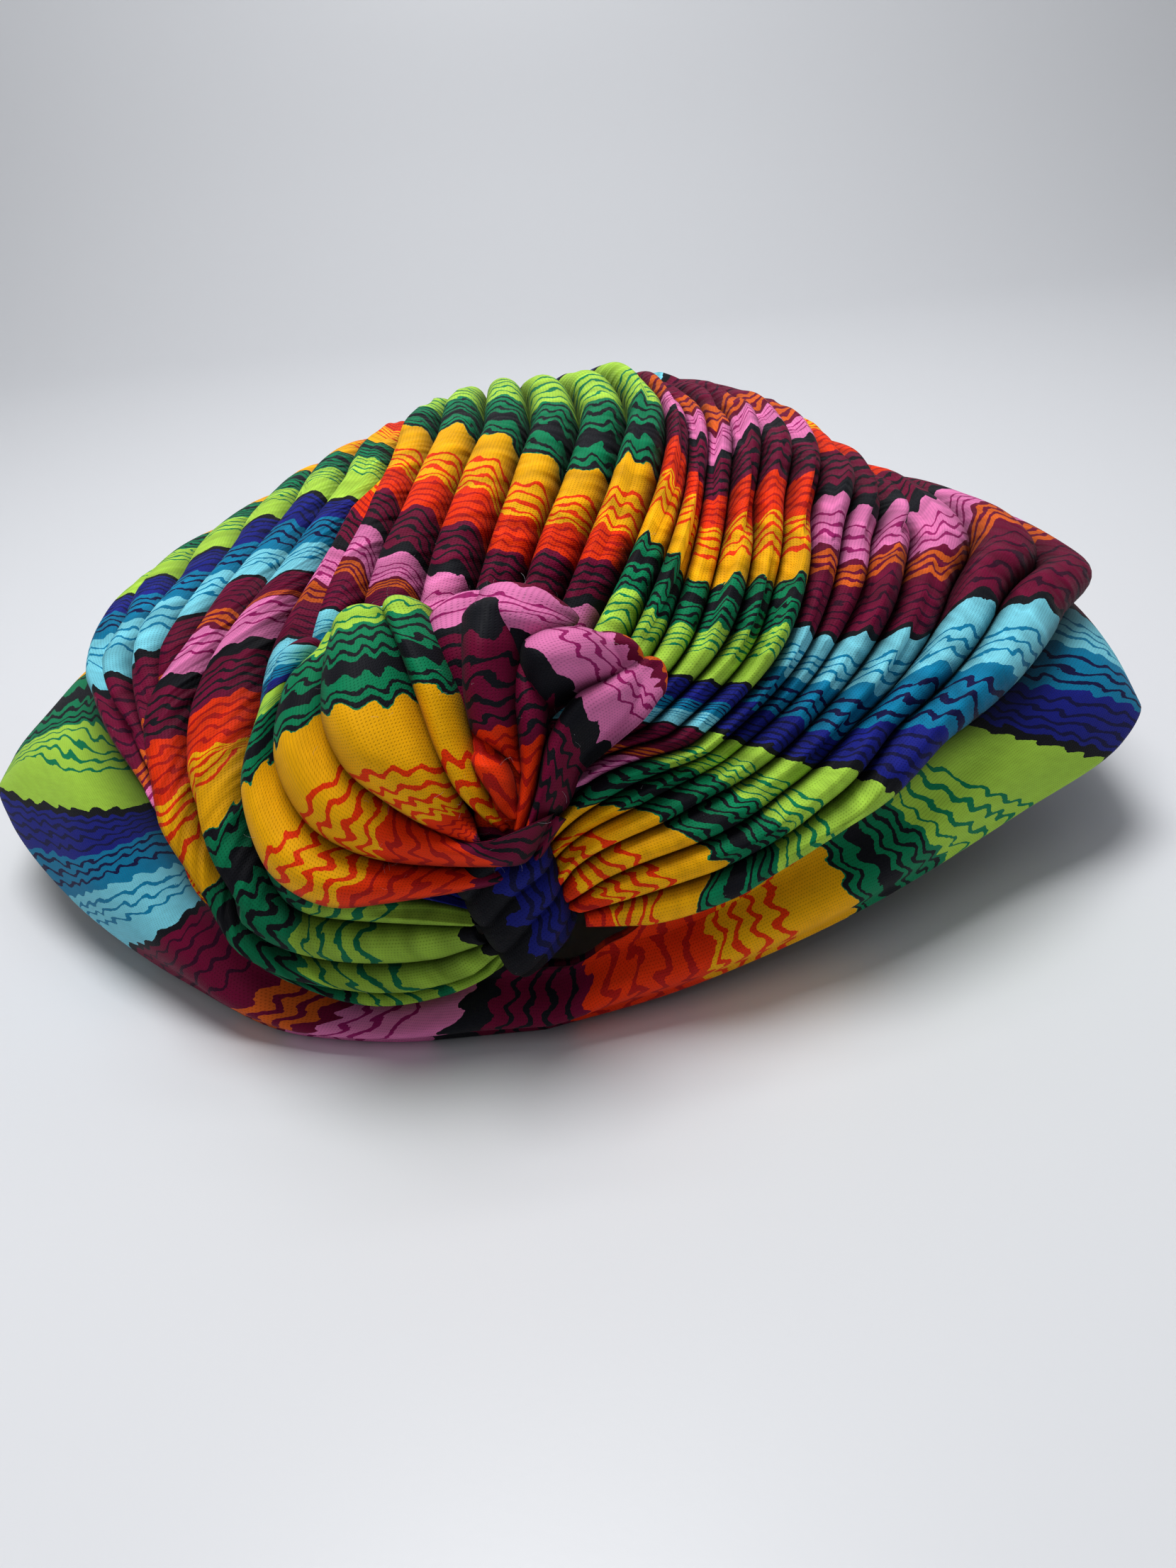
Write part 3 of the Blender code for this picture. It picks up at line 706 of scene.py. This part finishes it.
def makeBand():
    rows = bandRows()
    lean, share, hemShare, topPrint, hemPrint = (np.array([row[k] for row in rows]) for k in (0, 1, 3, 4, 5))
    right = np.array([row[2] == "right" for row in rows])
    hemRows = smoothCurve(band["hem"], hemShare) * mm
    hem = np.where(right[:, None], hemRows[:, :3], hemRows[:, 3:])
    normal = outwardAt(lean, share)
    top = formAt(lean, share) - normal * (foldDepth(share) * 0.9)[:, None]
    out = unit(np.stack([hem[:, 0] / band["halfWidth"] ** 2, hem[:, 1] / band["halfDepth"] ** 2, 0 * share], -1))
    up = np.array([0, 0, 1.0])
    roll = band["roll"]
    foot = hem - out * roll + up * roll    # the centre of the hem's roll
    start = foot + out * roll
    front = 1 - smoothStep(0.08, 0.26, hemShare)
    belly = out * (band["belly"] * (1 - 0.6 * front))[:, None] + up * band["lift"]
    sections, mark = [], []    # mark: 0 at the top edge, 1 at the hem, and on round to 1 at the top edge inside
    for part in np.linspace(0, 1, band["outRows"]):
        low = band["frontRoll"] * math.sin(math.pi * max(0, (part - 0.35) / 0.65)) ** 1.5
        hollow = band["frontHollow"] * math.sin(math.pi * min(1, part / 0.5))
        shaped = out * (front * (low - hollow))[:, None]
        sections.append(top + (start - top) * part + belly * math.sin(math.pi * part) + shaped)
        mark.append(part)
    for k in range(1, band["rollRows"]):
        angle = math.pi * k / (band["rollRows"] - 1)
        sections.append(foot + out * roll * math.cos(angle) - up * roll * math.sin(angle))
        mark.append(1 + 0.05 * k)
    insideTop, insideStart = top - normal * band["wall"], sections[-1]
    for part in np.linspace(0, 1, band["inRows"])[1:]:
        bulge = belly * 0.8 * math.sin(math.pi * part)
        sections.append(insideStart + (insideTop - insideStart) * part + bulge)
        mark.append(1.4 - 0.4 * part)
    grid, mark = np.stack(sections, 1), np.array(mark)
    place = topPrint[:, None] + (hemPrint - topPrint)[:, None] * np.minimum(mark, 1)[None, :]
    down = lengthsAlong(grid.transpose(1, 0, 2)).T
    uneven = band["unevenness"] * ripple(7, np.linspace(0, 40, len(rows))[:, None], down * 90)
    fade = np.minimum(1, down / (6 * mm)) * np.clip((1.05 - mark) * 8, 0, 1)[None, :]
    grid = grid + out[:, None, :] * (uneven * fade)[..., None]
    along = lengthsAlong(hem)
    cloth = np.stack([place / 1000, down], -1)
    weave = np.stack([np.broadcast_to(along[:, None], down.shape), down], -1)
    # the loop of each section closes on itself at the band's top edge
    grid = np.concatenate([grid, grid[:, :1]], 1)
    cloth = np.concatenate([cloth, cloth[:, -1:]], 1)
    weave = np.concatenate([weave, weave[:, -1:] + (0, band["wall"])], 1)
    distinct, around = grid.shape[0] - 1, grid.shape[1] - 1
    points = grid[:distinct, :around].reshape(-1, 3)
    faces, marks = [], []
    for i in range(distinct):
        for j in range(around):
            spots = [(i, j), (i, j + 1), (i + 1, j + 1), (i + 1, j)]
            faces.append([(a % distinct) * around + (b % around) for a, b in spots])
            marks += spots
    # painted shade: the band's colour darker along its top edge, under the folds
    shadow = creased(band["paintedCreaseShade"], -0.02, 0.3, np.append(mark, 0))
    paintedShade = np.broadcast_to(shadow[None, :], grid.shape[:2])
    piece = wovenPiece("hemBand", points, faces, np.array(marks), cloth, weave, paintedShade)
    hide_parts("hem_band")


makeBand()
print("hem band made")


# the waist: the left folds' ends, pinched over the front pole and drawn up to the right under the knot
waist = {
    "turn": math.radians(40), "low": -9, "high": 20,    # lengths here are in mm, measured from the pole
    "left": (-8.5, 0.35), "right": (9.0, 0.50),    # where the folds start and end, and how that shifts across them
    "ridges": [    # across the folds: where each ridge is, how wide and how high it is
        (-6.4, 3.2, 1.2), (-1.8, 3.4, 3.0), (4.2, 3.3, 3.2), (9.8, 3.0, 3.4), (14.8, 2.6, 3.4), (18.6, 2.0, 2.6),
    ],
    "print": [(0.0, -0.8), (0.46, -3.4), (0.56, -5), (0.85, -13), (1.0, -20)],
    "rows": 60, "columns": 121, "wall": 1.2 * mm, "base": 0.4, "tuck": 4.5, "squeeze": 0.12, "sway": 0.8,
    # painted shade: the whole waist's colour darker, and darker still in its creases
    "paintedShade": 0.8, "paintedCreaseShade": 0.4,
}


def makeWaist():
    low, high = waist["low"], waist["high"]
    part = np.linspace(0, 1, waist["rows"])[:, None]
    across = np.linspace(low, high, waist["columns"])[None, :]
    left, right = (waist[side][0] + waist[side][1] * across for side in ("left", "right"))
    along, across = np.broadcast_arrays(left + (right - left) * part, across)
    cosine, sine = math.cos(waist["turn"]), math.sin(waist["turn"])
    drawn = across * (1 - waist["squeeze"] * smoothStep(0.3, 1.0, part))    # the folds close up towards the pinch
    offX, offZ = (along * cosine - drawn * sine) * mm, (along * sine + drawn * cosine) * mm
    lean = np.degrees(np.arctan2(offZ, offX))
    share = np.arcsin(np.clip(np.hypot(offX, offZ) / reachAt(lean), 0, 1) ** (1 / form["fullness"])) / math.pi
    formFront = form["poleBack"] - form["halfDepth"] * np.cos(math.pi * share)
    standing = np.full(along.shape, waist["base"])
    for middle, half, rise in waist["ridges"]:
        off = (across - middle - waist["sway"] * np.sin(along * 0.25)) / half
        standing = np.maximum(standing, waist["base"] + rise * np.sqrt(np.clip(1 - off**2, 0, 1)))
    edge = np.abs(part * 2 - 1) ** 6 + np.abs((across - low) / (high - low) * 2 - 1) ** 8
    standing = (standing - waist["tuck"] * edge) * mm
    outer = np.stack([form["poleRight"] + offX, formFront - standing, form["poleHeight"] + offZ], -1)
    inner = outer + (0, waist["wall"], 0)
    place = np.broadcast_to(smoothCurve(waist["print"], part)[..., 0], across.shape)
    # painted shade, darker over the whole waist and down in its creases
    paintedShade = waist["paintedShade"] * creased(waist["paintedCreaseShade"], 0, 3 * mm, standing)
    piece = clothShell("waistWrap", outer, inner, place, across * mm, paintedShade)
    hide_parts("waist_wrap")


makeWaist()
print("waist made")


# the knot: rolled folds that fan out from the point where they meet, on a plane that faces forwards and up
knot = {
    "centre": np.array((-3.5, -103, 53.5)) * mm, "tilt": math.radians(29),
    "stages": (0.0, 0.15, 0.32, 0.50, 0.66, 0.80, 0.92),
    "edges": {    # each fold's rolled edges: across, up and forward in mm at the stages
        "outerLow": [
            (8.3, -1.5, -6), (-1.5, -11, -6), (-29, -12.8, -7), (-43, -4.4, -8),
            (-46, 8.8, -9), (-43, 21, -12), (-39.5, 31, -15),
        ],
        "middleLow": [
            (6, -0.5, -4), (-1, -8.2, -2), (-21, -5.5, -1), (-34.5, 2.6, -2),
            (-39, 14.7, -4), (-37, 26, -8), (-32.5, 31, -12),
        ],
        "faceLow": [
            (-5.4, -4.4, 0), (-11.3, -2, 2), (-19.4, 3.8, 4), (-26, 10.9, 4),
            (-28.6, 19.7, 3), (-28.4, 27.7, 0), (-27.6, 34, -5),
        ],
        "stripLow": [
            (-5.8, -2.8, 1), (-6.8, -0.3, 4), (-8.8, 4.4, 6), (-10.7, 11.2, 7),
            (-13.2, 20.7, 6), (-15.8, 29.3, 3), (-18.6, 35.5, -4),
        ],
        "ownStripLow": [
            (-2, -2.6, -2), (-4.9, 0.2, 3), (-8.2, 4.7, 6), (-10.7, 11.2, 7),
            (-13.2, 20.7, 6), (-15.8, 29.3, 3), (-18.6, 35.5, -4),
        ],
        "heartLow": [
            (-4, -5, -6), (-5, -3.5, -5), (-6, -2, -5), (-6, 0, -4),
            (-6, 3, -4), (-6, 6, -4), (-5, 8, -4),
        ],
        "heartHigh": [
            (3, -5.5, -6), (4.5, -4, -5), (5, -2, -5), (5, 0, -4),
            (5, 3, -4), (5, 6, -4), (4, 8, -4),
        ],
        "stripHigh": [
            (-0.8, -1.8, -2), (-2.4, 1.5, 1), (-4.1, 6.2, 3), (-5.3, 10.8, 4),
            (-6.4, 18.5, 4), (-8.4, 27, 1), (-11.5, 35.7, -6),
        ],
        "tongueLow": [
            (-0.4, -0.6, 0), (-1.8, 1, 1), (-3.2, 3.8, 2), (-4.4, 6.4, 3),
            (-5.2, 8.2, 3), (-5.6, 9.6, 2), (-5.2, 10.8, 1),
        ],
        "tongueHigh": [
            (0.6, -0.6, 0), (0.9, 1.2, 1), (0.8, 3.5, 2), (0.6, 5.8, 3),
            (0.1, 7.8, 3), (-0.6, 9.2, 2), (-1.4, 10.5, 1),
        ],
        "gapLow": [
            (-0.6, 2, -3), (-3, 6, -2), (-5.5, 11, -1), (-7.5, 17, 0),
            (-9, 24, 0), (-10.5, 29.5, -2), (-11.5, 33, -6),
        ],
        "gapHigh": [
            (1.5, 5, -3), (0.5, 11.9, -2), (-1.5, 16.7, -1), (-2, 21.3, 0),
            (-1.5, 26.7, 0), (-0.8, 31.3, -1), (0.5, 36, -6),
        ],
        "darkLow": [
            (1.6, 6.4, -1), (0.1, 9, 1), (-2.4, 11.4, 2), (-5, 14.5, 3),
            (-5.6, 20.7, 3), (-5.3, 26.6, 2), (-5.2, 32.5, -2),
        ],
        "darkHigh": [
            (1.9, 6.9, -1), (2, 9.3, 0), (2.2, 11.8, 1), (2.4, 15.5, 2),
            (2.8, 20.4, 3), (4.2, 26.4, 2), (5.6, 32.5, -2),
        ],
        "slimLow": [
            (-0.2, -2.5, -1), (1, 2.5, 0), (2, 7.9, 0), (2.2, 12.4, 1),
            (1.8, 17.9, 1), (2.2, 22.4, 1), (2.8, 25.4, 0),
        ],
        "slimHigh": [
            (1.4, -2.4, -1), (3.6, 3.2, 1), (5.4, 9.4, 2), (6.8, 14.6, 2),
            (7.1, 18.8, 1), (6.8, 22.1, 0), (5.9, 24.8, -1),
        ],
        "topLow": [
            (2.4, 16.3, -3), (1.3, 20.1, -3), (-0.1, 24.4, -3), (-1.5, 28.1, -2),
            (-2.6, 31.5, -2), (-2.9, 34.4, -3), (-2.5, 37, -7),
        ],
        "topHigh": [
            (3.8, 16.1, -2), (5.2, 20.5, -1), (6.9, 23.9, 0), (8.1, 26.5, 0),
            (9.4, 28.7, 0), (11.2, 30.2, -2), (12.6, 31.5, -6),
        ],
        "wingLow": [
            (3.3, 11.5, -3), (3.5, 17, -1), (3.4, 22.3, 1), (4.1, 27.1, 2),
            (7.5, 28.9, 2), (13.4, 29.3, 0), (17, 28.8, -5),
        ],
        "wingHigh": [
            (6.6, 12.1, -3), (7.4, 15.3, -2), (9.5, 17.2, 0), (12.1, 18.7, 1),
            (15.2, 19.9, 0), (19.1, 20.9, -3), (21.6, 21.8, -7),
        ],
        "lowWingLow": [
            (1.5, -2.7, -2), (4.1, 3.6, 0), (6.1, 9.8, 1), (8.5, 14, 2),
            (12.1, 18, 2), (17.6, 20.6, -1), (22, 22.8, -5),
        ],
        "lowWingHigh": [
            (1.7, -5.5, -3), (4.7, -2.6, -3), (8.8, 1.2, -4), (11.6, 6.1, -5),
            (16.4, 9.7, -7), (22.8, 14.2, -9), (25.6, 17.2, -11),
        ],
    },
    # first edge, second edge, how far the fold dips under each, its rise, its CAD node, and its print by stage
    "folds": {
        "roseFold1": ("outerLow", "middleLow", 3, 9, 0.62, "rose_fold_1", [
            (0, 414), (0.19, 395), (0.33, 374), (0.52, 355), (0.655, 343), (0.775, 321), (0.83, 280),
            (0.865, 256), (0.90, 238), (0.95, 212),
        ]),
        "roseFold2": ("middleLow", "faceLow", 5, 9, 0.62, "rose_fold_2", [
            (0, 412), (0.17, 394), (0.33, 373), (0.52, 355), (0.66, 343), (0.73, 334), (0.86, 321), (0.95, 308),
        ]),
        "roseFold3": ("faceLow", "stripLow", 5, 7, 0.58, "rose_fold_3", [
            (0, 398), (0.20, 374), (0.47, 355), (0.65, 343), (0.75, 334.5), (0.90, 321), (0.95, 314),
        ]),
        "roseFold4": ("ownStripLow", "stripHigh", 5, 5, 0.80, "rose_fold_4", [
            (0, 380), (0.10, 370), (0.52, 355), (0.69, 343), (0.79, 334.5), (0.915, 321), (0.95, 316),
        ]),
        "roseHeart": ("heartLow", "heartHigh", 0, 0, 0.22, None, [(0, 120), (1, 100)]),
        "roseTongue": ("tongueLow", "tongueHigh", 2, 2.5, 0.80, None, [(0, 98), (1, 106)]),
        "roseFold5": ("gapLow", "gapHigh", 4, 4, 0.50, "rose_fold_5", [
            (0, 100), (0.4, 112), (0.6, 122), (0.8, 134), (0.92, 150),
        ]),
        "roseFold6": ("darkLow", "darkHigh", 3, 4, 0.85, "rose_fold_6", [
            (0, 96), (0.30, 106), (0.45, 113), (0.80, 132), (0.86, 134), (0.95, 139),
        ]),
        "roseSlimFold": ("slimLow", "slimHigh", 2.5, 3, 0.85, None, [
            (0, 96), (0.32, 108), (0.42, 113), (0.80, 131), (0.95, 136),
        ]),
        "roseFold7": ("topLow", "topHigh", 3, 3, 0.62, "rose_fold_7", [
            (0, 132), (0.5, 137), (0.62, 140), (0.78, 150), (0.95, 162),
        ]),
        "roseFold8": ("wingLow", "wingHigh", 4, 5, 0.80, "rose_fold_8", [
            (0, 126), (0.2, 131), (0.3, 134), (0.52, 139.5), (0.7, 149), (0.88, 159), (0.95, 164),
        ]),
        "roseFold9": ("lowWingLow", "lowWingHigh", 4, 4, 0.72, "rose_fold_9", [
            (0, 112), (0.15, 118), (0.5, 131), (0.54, 134), (0.66, 139.5), (0.78, 149), (0.90, 160),
            (0.95, 164),
        ]),
    },
    "stations": 90, "columns": 25, "wall": 2.0 * mm, "clear": 0.3 * mm, "lowEdge": 1.4 * mm, "rim": 4.2 * mm,
    # the crease value is painted shade in the folds' colour
    "bulge": 0.05, "lean": 0.8, "fullness": 0.7, "unevenness": 0.06, "paintedCreaseShade": 0.4,
}
knotRight = np.array((1.0, 0, 0))
knotUp = np.array((0, math.sin(knot["tilt"]), math.cos(knot["tilt"])))
knotForward = np.array((0, -math.cos(knot["tilt"]), math.sin(knot["tilt"])))


def outsideForm(points):    # how far points are outside the rounded form, measured from its centre line
    depth = (form["poleBack"] - points[..., 1]) / form["halfDepth"]
    share = np.arccos(np.clip(depth, -1, 1)) / math.pi
    away = points - centreLine(share)
    length = np.linalg.norm(away, axis=-1)
    found = length - radiusAt(np.degrees(np.arctan2(away[..., 2], away[..., 0])), share)
    return np.where(np.abs(depth) >= 1, form["halfDepth"], found)


def formBehind(points):    # how far behind points, along the knot's line of sight, the form's surface is
    near = np.full(points.shape[:-1], -40 * mm)
    far = np.full(points.shape[:-1], 60 * mm)
    for _ in range(30):
        middle = (near + far) / 2
        outside = outsideForm(points - knotForward * middle[..., None]) > 0
        near, far = np.where(outside, middle, near), np.where(outside, far, middle)
    return near


# a rolled fold between two edges, from where the folds meet out to its rounded end
def makeRoseFold(number, name, lowEdge, highEdge, lowDip, highDip, rise, node, printRows):
    stage = np.linspace(0, 1, knot["stations"])
    held = np.minimum(stage, knot["stages"][-1])

    def edgeLine(edge, dip):
        line = smoothCurve([(key, *point) for key, point in zip(knot["stages"], knot["edges"][edge])], held)
        line[:, 2] -= dip * smoothStep(-0.05, 0.2, stage)
        return line * mm

    a, b = edgeLine(lowEdge, lowDip), edgeLine(highEdge, highDip)
    width = np.linalg.norm((b - a)[:, :2], axis=-1)
    part = (1 - np.cos(np.linspace(0, math.pi, knot["columns"]))) / 2
    rounded = np.sin(math.pi * part ** knot["lean"])    # fullest near the first edge
    height = rounded ** knot["fullness"]
    part = part * (1 + 2 * knot["bulge"]) - knot["bulge"]
    drawn = a[:, None] + (b - a)[:, None] * part[None, :, None]
    uneven = 1 + knot["unevenness"] * ripple(300 + number, stage[:, None] * 9, part[None, :] * 3)
    forward = drawn[..., 2] + rise * width[:, None] * height[None, :] * uneven
    # past the last stage the fold's end rolls over its rim and back down to the form
    lastStage = knot["stages"][-1]
    rimTurn = np.clip((stage - lastStage) / (1 - lastStage), 0, 1) * math.pi / 2
    flat = knot["centre"] + knotRight * drawn[..., :1] + knotUp * drawn[..., 1:2]
    middle = (a + b)[:, :2] / 2
    last = int(lastStage * knot["stations"])
    heading = unit(middle[last] - middle[last - 10])
    push = knot["rim"] * np.sin(rimTurn)[:, None] * (0.2 + 0.8 * height[None, :])
    flat = flat + (knotRight * heading[0] + knotUp * heading[1]) * push[..., None]
    behind = formBehind(flat)
    lowest, floor = knot["lowEdge"] - behind, knot["clear"] - behind
    front = np.maximum(forward, lowest)
    front = front + (lowest - front) * (1 - np.cos(rimTurn))[:, None]
    back = np.maximum(front - knot["wall"], floor)
    outer = flat + knotForward * front[..., None]
    inner = flat + knotForward * back[..., None]
    place = printAlong(printRows, stage)[:, None] + 0 * part[None, :]
    belly = int(0.55 * knot["stations"])
    across = np.broadcast_to(lengthsAlong(outer[belly]), place.shape) + number * 31 * mm
    # painted shade: each fold's colour darker where it dips at its edges, under the next fold
    paintedShade = np.broadcast_to(creased(knot["paintedCreaseShade"], -0.05, 0.75, rounded)[None, :], place.shape)
    piece = clothShell(name, outer, inner, place, across, paintedShade)
    if node:
        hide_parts(node)


for number, (name, values) in enumerate(knot["folds"].items(), 1):
    makeRoseFold(number, name, *values)
print("knot made")


# one bent strand, spread over the cloth with a random turn and length
def fibreTree(material):
    tree = bpy.data.node_groups.new("fibres", "GeometryNodeTree")
    tree.interface.new_socket("Geometry", in_out="INPUT", socket_type="NodeSocketGeometry")
    for name in ("Density", "Length", "Radius"):
        tree.interface.new_socket(name, in_out="INPUT", socket_type="NodeSocketFloat")
    tree.interface.new_socket("Seed", in_out="INPUT", socket_type="NodeSocketInt")
    tree.interface.new_socket("Geometry", in_out="OUTPUT", socket_type="NodeSocketGeometry")
    given = addNode(tree, "NodeGroupInput").outputs
    spread = addNode(
        tree, "GeometryNodeDistributePointsOnFaces",
        {"Mesh": given["Geometry"], "Density": given["Density"], "Seed": given["Seed"]},
    )
    bend = addNode(tree, "GeometryNodeCurveQuadraticBezier", {
        "Resolution": 5, "Start": (0, 0, -0.1), "Middle": (0.1, 0.1, 0.7), "End": (0.6, 0.2, 0.9),    # bent over
    })
    scale = addNode(tree, "ShaderNodeCombineXYZ", {axis: given["Length"] for axis in range(3)})
    sized = addNode(tree, "GeometryNodeTransform", {"Geometry": bend.outputs[0], "Scale": scale.outputs[0]})
    section = addNode(tree, "GeometryNodeCurvePrimitiveCircle", {"Resolution": 3, "Radius": given["Radius"]})
    strand = addNode(tree, "GeometryNodeCurveToMesh", {
        "Curve": sized.outputs[0], "Profile Curve": section.outputs["Curve"], "Fill Caps": True,
    })
    least, most = (-0.5, -0.5, -3.14), (0.5, 0.5, 3.14)
    spin = addNode(
        tree, "FunctionNodeRandomValue", {0: least, 1: most, "Seed": given["Seed"]}, data_type="FLOAT_VECTOR",
    )
    turned = addNode(
        tree, "FunctionNodeRotateRotation", {0: spread.outputs["Rotation"], 1: spin.outputs[0]},
        rotation_space="LOCAL",
    )
    shorter = addNode(tree, "FunctionNodeRandomValue", {2: 0.35, 3: 1.0, "Seed": given["Seed"]}, data_type="FLOAT")
    placed = addNode(tree, "GeometryNodeInstanceOnPoints", {
        "Points": spread.outputs["Points"], "Instance": strand.outputs[0], "Rotation": turned.outputs[0],
        "Scale": shorter.outputs[1],
    })
    real = addNode(tree, "GeometryNodeRealizeInstances", {"Geometry": placed.outputs[0]})
    painted = addNode(tree, "GeometryNodeSetMaterial", {"Geometry": real.outputs[0], "Material": material})
    addNode(tree, "NodeGroupOutput", {0: painted.outputs[0]})
    return tree


def makeFibres():
    ground = bpy.data.meshes.new("clothSkin")
    ground.from_pydata(fibreGround["points"], [], fibreGround["faces"])
    holder = addObject("clothSkin", ground)
    paleFibre = shadeWith(newMaterial("pale fibre"), {
        "Base Color": linear(196, 192, 200), "Roughness": 0.6, "Specular IOR Level": 0.3,
    })
    tree = fibreTree(paleFibre)
    modifier = holder.modifiers.new("fibres", "NODES")
    modifier.node_group = tree
    wanted = {name.capitalize(): value for name, value in fibres.items()}
    for socket in tree.interface.items_tree:
        if socket.in_out == "INPUT" and socket.name in wanted:
            modifier[socket.identifier] = wanted[socket.name]
    evaluated = holder.evaluated_get(bpy.context.evaluated_depsgraph_get())
    mesh = bpy.data.meshes.new_from_object(evaluated)
    mesh.name = "looseFibres"
    holder.modifiers.clear()
    bpy.data.objects.remove(holder)
    piece = addObject("looseFibres", mesh)
    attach(piece, "root")
    print("loose fibres made:", len(mesh.polygons), "faces")


makeFibres()


# the white table and soft studio light
def whiteTable():
    material = newMaterial("white table")
    tree = material.node_tree
    place = addNode(tree, "ShaderNodeTexCoord").outputs["Object"]
    grain = addNode(tree, "ShaderNodeTexNoise", {"Vector": place, "Scale": 900, "Detail": 2}).outputs[0]
    bump = addNode(tree, "ShaderNodeBump", {"Height": grain, "Strength": 0.08, "Distance": 0.0002}).outputs[0]
    return shadeWith(material, {
        "Base Color": linear(228, 230, 234), "Roughness": 0.32, "Normal": bump, "Specular IOR Level": 0.35,
    })


studio = {
    "front": -2.0, "turn": 0.9, "radius": 0.7, "top": 2.4, "half": 3.0, "drop": -0.2 * mm, "steps": 24,
    "lamps": [    # name, place, target, width and power
        ("overhead", (-0.10, -0.02, 0.90), (0, 0, 0.02), 0.45, 6.2),
        ("front", (-0.25, -0.65, 0.85), (0, -0.05, 0.05), 0.6, 0.9),
        ("side", (0.9, 0.0, 0.6), (0, 0, 0.05), 0.5, 0.6),
        ("backdrop", (0.0, 0.55, 1.40), (0, 1.5, 0.75), 0.9, 11.5),
    ],
    "worldColour": linear(226, 229, 236), "worldStrength": 0.16,
}


def makeStage():
    line = [(studio["front"], studio["drop"])]
    for k in range(studio["steps"] + 1):
        angle = math.pi / 2 * k / studio["steps"]
        rise = studio["radius"] * (1 - math.cos(angle))
        line.append((studio["turn"] + studio["radius"] * math.sin(angle), studio["drop"] + rise))
    line.append((line[-1][0], studio["top"]))
    points = [(side * studio["half"], y, z) for y, z in line for side in (-1, 1)]
    faces = [(2 * k, 2 * k + 1, 2 * k + 3, 2 * k + 2) for k in range(len(line) - 1)]
    mesh = bpy.data.meshes.new("floor")
    mesh.from_pydata(points, [], faces)
    mesh.shade_smooth()
    mesh.materials.append(whiteTable())
    addObject("floor", mesh)
    for name, place, target, wide, power in studio["lamps"]:
        lamp = bpy.data.lights.new(name, "AREA")
        lamp.shape = "DISK"
        lamp.size = wide
        lamp.energy = power
        thing = addObject(name, lamp)
        thing.location = place
        thing.rotation_euler = (Vector(target) - Vector(place)).to_track_quat("-Z", "Y").to_euler()
    world = bpy.data.worlds.new("soft surroundings")
    world.use_nodes = True
    background = world.node_tree.nodes["Background"]
    background.inputs["Color"].default_value = studio["worldColour"]
    background.inputs["Strength"].default_value = studio["worldStrength"]
    bpy.context.scene.world = world
    bpy.context.scene.view_settings.view_transform = "Standard"


makeStage()
print("stage made")
